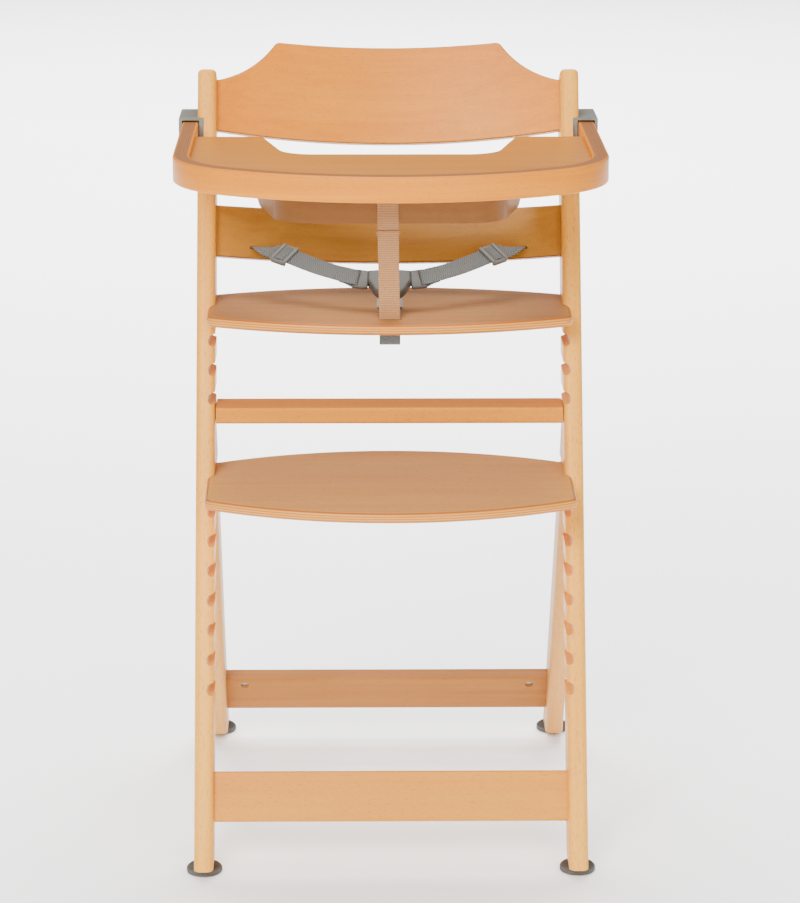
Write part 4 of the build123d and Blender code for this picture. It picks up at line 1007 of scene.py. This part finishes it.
@dataclass
class Harness:
    """Lap straps, their adjusters and the crotch strap."""

    joints: list[dict]
    finishes: Finishes
    stitches: GeometryTree
    strap: Strap = field(default_factory=Strap)
    slot_to_glide: float = 0.036
    twist: float = 0.020
    skew_length: float = 0.034
    held_length: float = 0.05
    sag: float = 0.0022
    slab_thickness: float = 0.0018
    crotch_start: float = 0.020
    blend_from: float = 0.060
    blend_end_gap: float = 0.014
    anchor_half: tuple[float, float] = (0.0040, 0.0078)
    tongue_reach: float = 0.042
    tongue_angle: float = radians(10)
    button_middle: float = 0.005
    bar_wrap_radius: float = 0.0031
    glide_size: tuple[float, float] = (0.033, 0.024)
    sew_length: float = 0.022
    tongue_width: float = 0.0295
    housing_thickness: float = 0.013
    well_radius: float = 0.0103
    well_depth: float = 0.0075

    def axis(self, joint: str) -> Vector:
        """Unit axis of a joint, by its name."""
        found = next(item for item in self.joints if item["name"] == joint)
        return Vector(found["axis"]).normalized()

    def middle(self, node: str) -> Vector:
        """Middle of a part's box."""
        low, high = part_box(node)
        return (Vector(low) + Vector(high)) / 2

    def face(self) -> Vector:
        """Normal of the buckle's face."""
        return -self.axis("buckle_button_press")

    def buckle(self) -> Vector:
        """Middle of the buckle housing."""
        return self.middle("buckle_button") - self.face() * self.button_middle

    def up(self) -> Vector:
        """Direction up the buckle's face."""
        return self.face().cross(Vector((1, 0, 0))).normalized()

    def run(self, side: str) -> tuple[Vector, Vector, Vector, Vector]:
        """Geometry of one lap strap.

        Args:
            side: left or right.

        Returns:
            Slot exit, direction to the tongue, width direction and face normal.
        """
        along = self.axis(f"{side}_glide_slide")
        start = self.middle(f"{side}_strap_glide") - along * self.slot_to_glide
        across = along.cross(self.face()).normalized()
        if across.z < 0:
            across = -across
        normal = along.cross(across)
        if normal.y > 0:
            normal = -normal
        return start, along, across, normal

    def bar(self, side: str) -> tuple[Vector, Vector, Vector]:
        """Outer bar of a tongue.

        Args:
            side: left or right.

        Returns:
            Its middle, the tongue's outward direction and the bar's direction.
        """
        hand = 1 if side == "right" else -1
        outward = Vector((hand, 0, 0)) * cos(self.tongue_angle) + self.up() * sin(self.tongue_angle)
        across = self.face().cross(outward).normalized()
        if across.z < 0:
            across = -across
        return self.buckle() + outward * self.tongue_reach, outward, across

    def lap_stations(self, side: str) -> list[Station]:
        """Stations from behind the backrest, through the adjuster, to the tongue."""
        hand = 1 if side == "right" else -1
        start, along, across, _ = self.run(side)
        bar, outward, bar_across = self.bar(side)
        flat = Vector((hand, 0, 0))
        anchor = self.middle(f"{side}_strap_anchor")
        depth = (anchor - start).dot(INTO_BOARD) - 0.0035
        found = [Station(start + INTO_BOARD * depth * (1 - i / 5), flat, UP_BOARD)
                 for i in range(5)]
        lap_end = bar + self.face() * self.bar_wrap_radius
        length = (lap_end - start).length
        count = 60
        for index in range(count + 1):
            share = index / count
            travelled = share * length
            place = start.lerp(lap_end, share)
            turn = smoothstep(travelled / self.twist)
            skew = smoothstep((travelled - length + self.skew_length) / self.skew_length)
            hung = (travelled - self.held_length) / (length - self.held_length)
            sag = self.sag * sin(pi * min(max(hung, 0), 1))
            width = flat.lerp(across * self.sense(flat, across), turn).normalized()
            width = width.lerp(bar_across * self.sense(width, bar_across), skew).normalized()
            facing = along.cross(width).normalized()
            if facing.dot(UP_BOARD) < 0:
                facing = -facing
            found.append(Station(place - Vector((0, 0, sag)), width, facing))
        width = found[-1].across
        for index in range(1, 9):
            angle = pi * index / 8
            spoke = self.face() * cos(angle) - outward * sin(angle)
            found.append(Station(bar + spoke * self.bar_wrap_radius, width, spoke))
        back = bar - self.face() * self.bar_wrap_radius
        for index in range(1, 9):
            share = index / 8
            place = back + (start - bar).normalized() * self.sew_length * share
            rise = self.bar_wrap_radius - self.strap.thickness * 0.5
            lift = self.face() * rise * smoothstep(share * 1.6)
            found.append(Station(place + lift, width, -self.face()))
        return found

    @staticmethod
    def sense(first: Vector, second: Vector) -> float:
        """1 where two directions agree, otherwise -1."""
        return 1.0 if first.dot(second) >= 0 else -1.0

    def lap(self, side: str) -> None:
        """Builds one lap strap and its loop round the anchor bar."""
        start, along, _, _ = self.run(side)
        work = bmesh.new()
        stations = self.lap_stations(side)
        self.strap.build(work, stations)
        self.anchor_loop(work, side)
        piece = strap_piece(f"{side}_lap_webbing", work, self.finishes.grey_strap)
        length = (self.bar(side)[0] - start).length
        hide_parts(f"{side}_lap_strap")
        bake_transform(piece)
        rows = []
        sewn = [at for at in stations[:66]
                if 0.016 < (at.middle - self.bar(side)[0]).length < 0.026]
        reach = self.strap.width / 2 - 0.003
        for at in (sewn[0], sewn[-1]):
            lift = at.normal * self.strap.thickness / 2
            rows.append([at.middle - at.across * reach + lift,
                         at.middle + at.across * reach + lift])
        for hand in (-1, 1):
            rows.append([at.middle + at.across * reach * hand + at.normal * 0.0008
                         for at in (sewn[0], sewn[-1])])
        seam = self.stitches.apply(f"{side}_lap_stitches", path_object("lap_rows", rows),
                                   STRAP_SEWING, self.finishes.grey_thread)
        smooth_by_angle(seam.data, 80)
        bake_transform(seam)
        LOG.info("%s lap strap %.0f mm", side, length * 1000)

    def anchor_loop(self, work: bmesh.types.BMesh, side: str) -> None:
        """Adds the strap's closed loop round the bar behind the backrest.

        Args:
            work: The strap's mesh.
            side: left or right.
        """
        anchor = self.middle(f"{side}_strap_anchor")
        deep, tall = self.anchor_half
        loop = []
        for index in range(24):
            angle = 2 * pi * index / 24
            spoke = INTO_BOARD * cos(angle) * deep + UP_BOARD * sin(angle) * tall
            normal = (INTO_BOARD * cos(angle) / deep + UP_BOARD * sin(angle) / tall).normalized()
            loop.append(Station(anchor + spoke, Vector((1, 0, 0)), normal))
        self.strap.build(work, loop, closed=True)

    def glide(self, side: str) -> None:
        """Builds one adjuster: a ring, a low middle bar and the webbing over it."""
        _, along, across, normal = self.run(side)
        centre = self.middle(f"{side}_strap_glide")
        axes = Matrix((across, along, normal)).transposed().to_4x4()
        place = Matrix.Translation(centre) @ axes
        width, length = self.glide_size
        wall, rise = 0.0054, 0.0028
        work = bmesh.new()
        for sign in (-1, 1):
            rail = Matrix.Translation((sign * (width - wall) / 2, 0, 0.0004))
            rounded_box(work, place @ rail, (wall * 0.8, length - 0.003, 0.0058), 0.0013)
            end = Matrix.Translation((0, sign * (length - wall) / 2, rise))
            rounded_box(work, place @ end, (width - 0.001, wall, 0.0042), 0.0020)
        bar = Matrix.Translation((0, 0, -0.0021))
        rounded_box(work, place @ bar, (width - 0.003, 0.004, 0.0018), 0.0008)
        mesh = bpy.data.meshes.new(f"{side}_adjuster")
        bmesh.ops.recalc_face_normals(work, faces=work.faces)
        work.to_mesh(mesh)
        work.free()
        smooth_by_angle(mesh, 40)
        piece = add_object(f"{side}_adjuster", mesh, self.finishes.plastic)
        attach(piece, f"{side}_glide")
        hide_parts(f"{side}_strap_glide")
        hump = Strap(width=self.strap.width - 0.0006, thickness=0.0012)
        over = []
        for index in range(17):
            step = index / 16 * 2 - 1
            lift = 0.0007 + 0.0036 * max(cos(step * pi / 2), 0.0) ** 0.8
            middle = centre + along * step * (length / 2 - 0.003) + normal * lift
            over.append(Station(middle, across, normal))
        work = bmesh.new()
        hump.build(work, over)
        fold = strap_piece(f"{side}_adjuster_webbing", work, self.finishes.grey_strap)
        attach(fold, f"{side}_glide")
        LOG.info("%s adjuster", side)

    def tongue(self, side: str) -> None:
        """Builds one tongue: a plate, two cheeks and a round bar for the strap."""
        _, outward, across = self.bar(side)
        axes = Matrix((outward, across, self.face())).transposed().to_4x4()
        place = Matrix.Translation(self.buckle()) @ axes
        width, height = self.tongue_width, 0.0046
        work = bmesh.new()
        plate = Matrix.Translation((0.0315, 0, 0))
        rounded_box(work, place @ plate, (0.013, width - 0.001, height), 0.0016)
        bar = Matrix.Translation((self.tongue_reach, 0, 0))
        rounded_box(work, place @ bar, (0.0042, width - 0.001, 0.0040), 0.0018)
        for sign in (-1, 1):
            cheek = Matrix.Translation((0.036, sign * (width - 0.0024) / 2, 0))
            rounded_box(work, place @ cheek, (0.016, 0.0026, height), 0.0012)
        bmesh.ops.recalc_face_normals(work, faces=work.faces)
        mesh = bpy.data.meshes.new(f"{side}_tongue")
        work.to_mesh(mesh)
        work.free()
        smooth_by_angle(mesh, 40)
        piece = add_object(f"{side}_tongue", mesh, self.finishes.buckle_plastic)
        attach(piece, "seat")
        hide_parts(f"{side}_buckle_tongue")
        LOG.info("%s tongue", side)

    def housing(self) -> None:
        """Builds the buckle's shield-shaped housing round the button's well."""
        half = self.housing_thickness / 2
        axes = Matrix((Vector((1, 0, 0)), self.up(), self.face())).transposed().to_4x4()
        place = Matrix.Translation(self.buckle()) @ axes
        arc = [(0.0235 * sin(angle), -0.0265 * cos(angle)) for angle in
               (radians(step) for step in range(-70, 71, 10))]
        outline = [*arc, (0.0268, 0.0), (0.0262, 0.0165), (0.0150, 0.0178), (-0.0150, 0.0178),
                   (-0.0262, 0.0165), (-0.0268, 0.0)]
        work = bmesh.new()
        face = work.faces.new([work.verts.new((x, y, -half)) for x, y in outline])
        grown = bmesh.ops.extrude_face_region(work, geom=[face])
        risen = [item for item in grown["geom"] if isinstance(item, bmesh.types.BMVert)]
        bmesh.ops.translate(work, vec=(0, 0, 2 * half), verts=risen)
        bmesh.ops.recalc_face_normals(work, faces=work.faces)
        rims = [edge for edge in work.edges if abs(edge.verts[0].co.z - edge.verts[1].co.z) < 1e-6]
        bmesh.ops.bevel(work, geom=rims, offset=0.0032, segments=4, profile=0.5, affect="EDGES")
        mesh = bpy.data.meshes.new("buckle_housing")
        work.to_mesh(mesh)
        work.free()
        shell = add_object("buckle_shell", mesh, self.finishes.buckle_plastic)
        well = bmesh.new()
        bmesh.ops.create_cone(well, cap_ends=True, segments=64, radius1=self.well_radius,
                              radius2=self.well_radius, depth=0.02,
                              matrix=Matrix.Translation((0, 0, half - self.well_depth + 0.01)))
        cutter_mesh = bpy.data.meshes.new("well")
        well.to_mesh(cutter_mesh)
        well.free()
        cutter = add_object("well", cutter_mesh, self.finishes.buckle_plastic)
        cut = shell.modifiers.new("well", "BOOLEAN")
        cut.operation = "DIFFERENCE"
        cut.solver = "EXACT"
        cut.object = cutter
        depsgraph = bpy.context.evaluated_depsgraph_get()
        made = bpy.data.meshes.new_from_object(shell.evaluated_get(depsgraph))
        bpy.data.objects.remove(shell)
        bpy.data.objects.remove(cutter)
        made.transform(place)
        smooth_by_angle(made, 35)
        piece = add_object("buckle_housing", made, self.finishes.buckle_plastic)
        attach(piece, "seat")
        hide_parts("buckle_body")
        LOG.info("buckle housing %d faces", len(made.polygons))

    def crotch(self) -> None:
        """Builds the strap from the buckle down through the seat."""
        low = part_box("crotch_strap")[0]
        seat_low, seat_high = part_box("seat_plate")
        slot_y = low[1] + self.slab_thickness / 2
        up, buckle = self.up(), self.buckle()
        top = buckle - up * self.crotch_start
        fall = (buckle.z - seat_high[2]) / up.z
        near = buckle - up * (fall - 0.007)
        mouth = Vector((0, slot_y, seat_high[2] - 0.005))
        foot = Vector((0, slot_y, low[2]))
        line = [top.lerp(near, i / 8) for i in range(9)]
        corner = Vector((0, slot_y, seat_high[2] + 0.001))
        bend = [self.curve(near, corner, mouth, i / 8) for i in range(1, 9)]
        line += bend + [mouth.lerp(foot, i / 10) for i in range(1, 11)]
        across = Vector((1, 0, 0))
        stations = []
        for index, point in enumerate(line):
            way = line[min(index + 1, len(line) - 1)] - line[max(index - 1, 0)]
            stations.append(Station(point, across, across.cross(way.normalized())))
        work = bmesh.new()
        self.strap.build(work, stations)
        piece = strap_piece("crotch_webbing", work, self.finishes.grey_strap)
        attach(piece, "seat")
        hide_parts("crotch_strap")
        rows = []
        for lift in (0.003, 0.006):
            for sign in (-1, 1):
                y = slot_y + sign * self.strap.thickness / 2
                rows.append([Vector((x, y, low[2] + lift)) for x in (-0.0105, 0.0105)])
        sewn = self.stitches.apply("crotch_stitches", path_object("crotch_rows", rows),
                                   STRAP_SEWING, self.finishes.grey_thread)
        smooth_by_angle(sewn.data, 80)
        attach(sewn, "seat")
        LOG.info("crotch strap, seat underside at %.3f", seat_low[2])

    @staticmethod
    def curve(first: Vector, corner: Vector, last: Vector, share: float) -> Vector:
        """Point on the quadratic curve through two ends and towards a corner."""
        return first.lerp(corner, share).lerp(corner.lerp(last, share), share)

    def build(self) -> None:
        """Builds the harness's own pieces."""
        for side in ("left", "right"):
            self.lap(side)
            self.glide(side)
            self.tongue(side)
        self.housing()
        self.crotch()


@dataclass
class Feet:
    """Screw threads on the levelling studs."""

    finishes: Finishes
    pitch: float = 0.00125
    ridge: float = 0.0003

    def build(self) -> None:
        """Winds a thread on each stud."""
        tree = thread_tree()
        for place in ("front", "rear"):
            for side in ("left", "right"):
                node = f"{place}_{side}_foot_stud"
                low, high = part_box(node)
                height = high[2] - low[2] - 0.002
                foot = Vector(((low[0] + high[0]) / 2, (low[1] + high[1]) / 2, low[2] + 0.0005))
                values = {"Height": height, "Turns": height / self.pitch, "Foot": foot,
                          "Radius": (high[0] - low[0]) / 2 - self.ridge * 0.6, "Ridge": self.ridge}
                source = path_object("stud", [[foot, foot + Vector((0, 0, 1))]])
                piece = tree.apply(f"{place}_{side}_thread", source, values, self.finishes.zinc)
                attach(piece, f"{place}_{side}_stud")
                LOG.info("%s thread %d faces", node, len(piece.data.polygons))


@dataclass
class Studio:
    """Camera, floor and soft lights."""

    eye: Vector = field(default_factory=lambda: Vector((-0.0489, -3.9428, 1.488)))
    yaw: float = 0.0158
    pitch: float = 0.2554
    roll: float = 0.0019
    lens: float = 131.88
    white: Colour = (1.0, 1.0, 1.0)
    ambient: float = 0.48

    def camera(self) -> None:
        """Adds the camera."""
        level = cos(self.pitch)
        forward = Vector((sin(self.yaw) * level, cos(self.yaw) * level, -sin(self.pitch)))
        right = Vector((cos(self.yaw), -sin(self.yaw), 0))
        up = right.cross(forward)
        across = right * cos(self.roll) + up * sin(self.roll)
        above = up * cos(self.roll) - right * sin(self.roll)
        data = bpy.data.cameras.new("camera")
        data.lens = self.lens
        data.sensor_width = 36
        camera = bpy.data.objects.new("camera", data)
        turn = Matrix((across, above, -forward)).transposed().to_4x4()
        camera.matrix_world = Matrix.Translation(self.eye) @ turn
        bpy.context.scene.collection.objects.link(camera)
        bpy.context.scene.camera = camera

    def light(self, name: str, place: Triple, target: Triple, size: float,
              power: float) -> bpy.types.Object:
        """Adds a square area light.

        Args:
            name: Its name.
            place: Where it is.
            target: What it looks at.
            size: Its side.
            power: Its power in watts.

        Returns:
            The light.
        """
        data = bpy.data.lights.new(name, "AREA")
        data.energy = power
        data.size = size
        lamp = bpy.data.objects.new(name, data)
        lamp.location = place
        lamp.rotation_euler = (Vector(target) - Vector(place)).to_track_quat("-Z", "Y").to_euler()
        bpy.context.scene.collection.objects.link(lamp)
        return lamp

    def floor(self) -> bpy.types.Object:
        """Adds the pale floor and returns it."""
        work = bmesh.new()
        bmesh.ops.create_grid(work, x_segments=1, y_segments=1, size=12.0)
        mesh = bpy.data.meshes.new("floor")
        work.to_mesh(mesh)
        work.free()
        material, graph, shader = new_material("floor_paint")
        where = graph.add("ShaderNodeTexCoord").outputs["Object"]
        cloud = graph.noise(where, (1.5, 1.5, 1.5))
        colour = graph.mix(cloud, (0.86, 0.86, 0.86), (0.90, 0.90, 0.90))
        graph.tree.links.new(colour, shader.inputs["Base Color"])
        shader.inputs["Roughness"].default_value = 0.9
        floor = add_object("floor", mesh, material)
        return floor

    def build(self) -> None:
        """Sets up the studio."""
        self.camera()
        floor = self.floor()
        world = bpy.data.worlds.new("studio")
        world.use_nodes = True
        sky = world.node_tree.nodes["Background"]
        sky.inputs["Color"].default_value = (*self.white, 1.0)
        sky.inputs["Strength"].default_value = self.ambient
        bpy.context.scene.world = world
        self.light("key", (-1.0, -3.0, 2.4), (0.0, 0.0, 0.55), 1.4, 186.0)
        self.light("fill", (1.1, -3.0, 1.5), (0.0, 0.0, 0.5), 1.4, 46.0)
        self.light("top", (0.0, 0.5, 3.0), (0.0, 0.0, 0.5), 1.6, 62.0)
        backdrop = self.light("backdrop", (0.0, 5.4, 3.0), (0.0, 5.4, 0.0), 7.0, 1500.0)
        lit = bpy.data.collections.new("backdrop_lit")
        lit.objects.link(floor)
        backdrop.light_linking.receiver_collection = lit
        LOG.info("studio ready")


def main() -> None:
    """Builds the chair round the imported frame."""
    logging.basicConfig(level=logging.INFO, format="%(message)s")
    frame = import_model()
    finishes = make_finishes()
    stitches = stitch_tree()
    Woodwork(frame["nodes"], finishes).dress()
    Tray(finishes, stitches).build()
    Harness(frame["joints"], finishes, stitches).build()
    Feet(finishes).build()
    Studio().build()


if __name__ == "__main__":
    main()
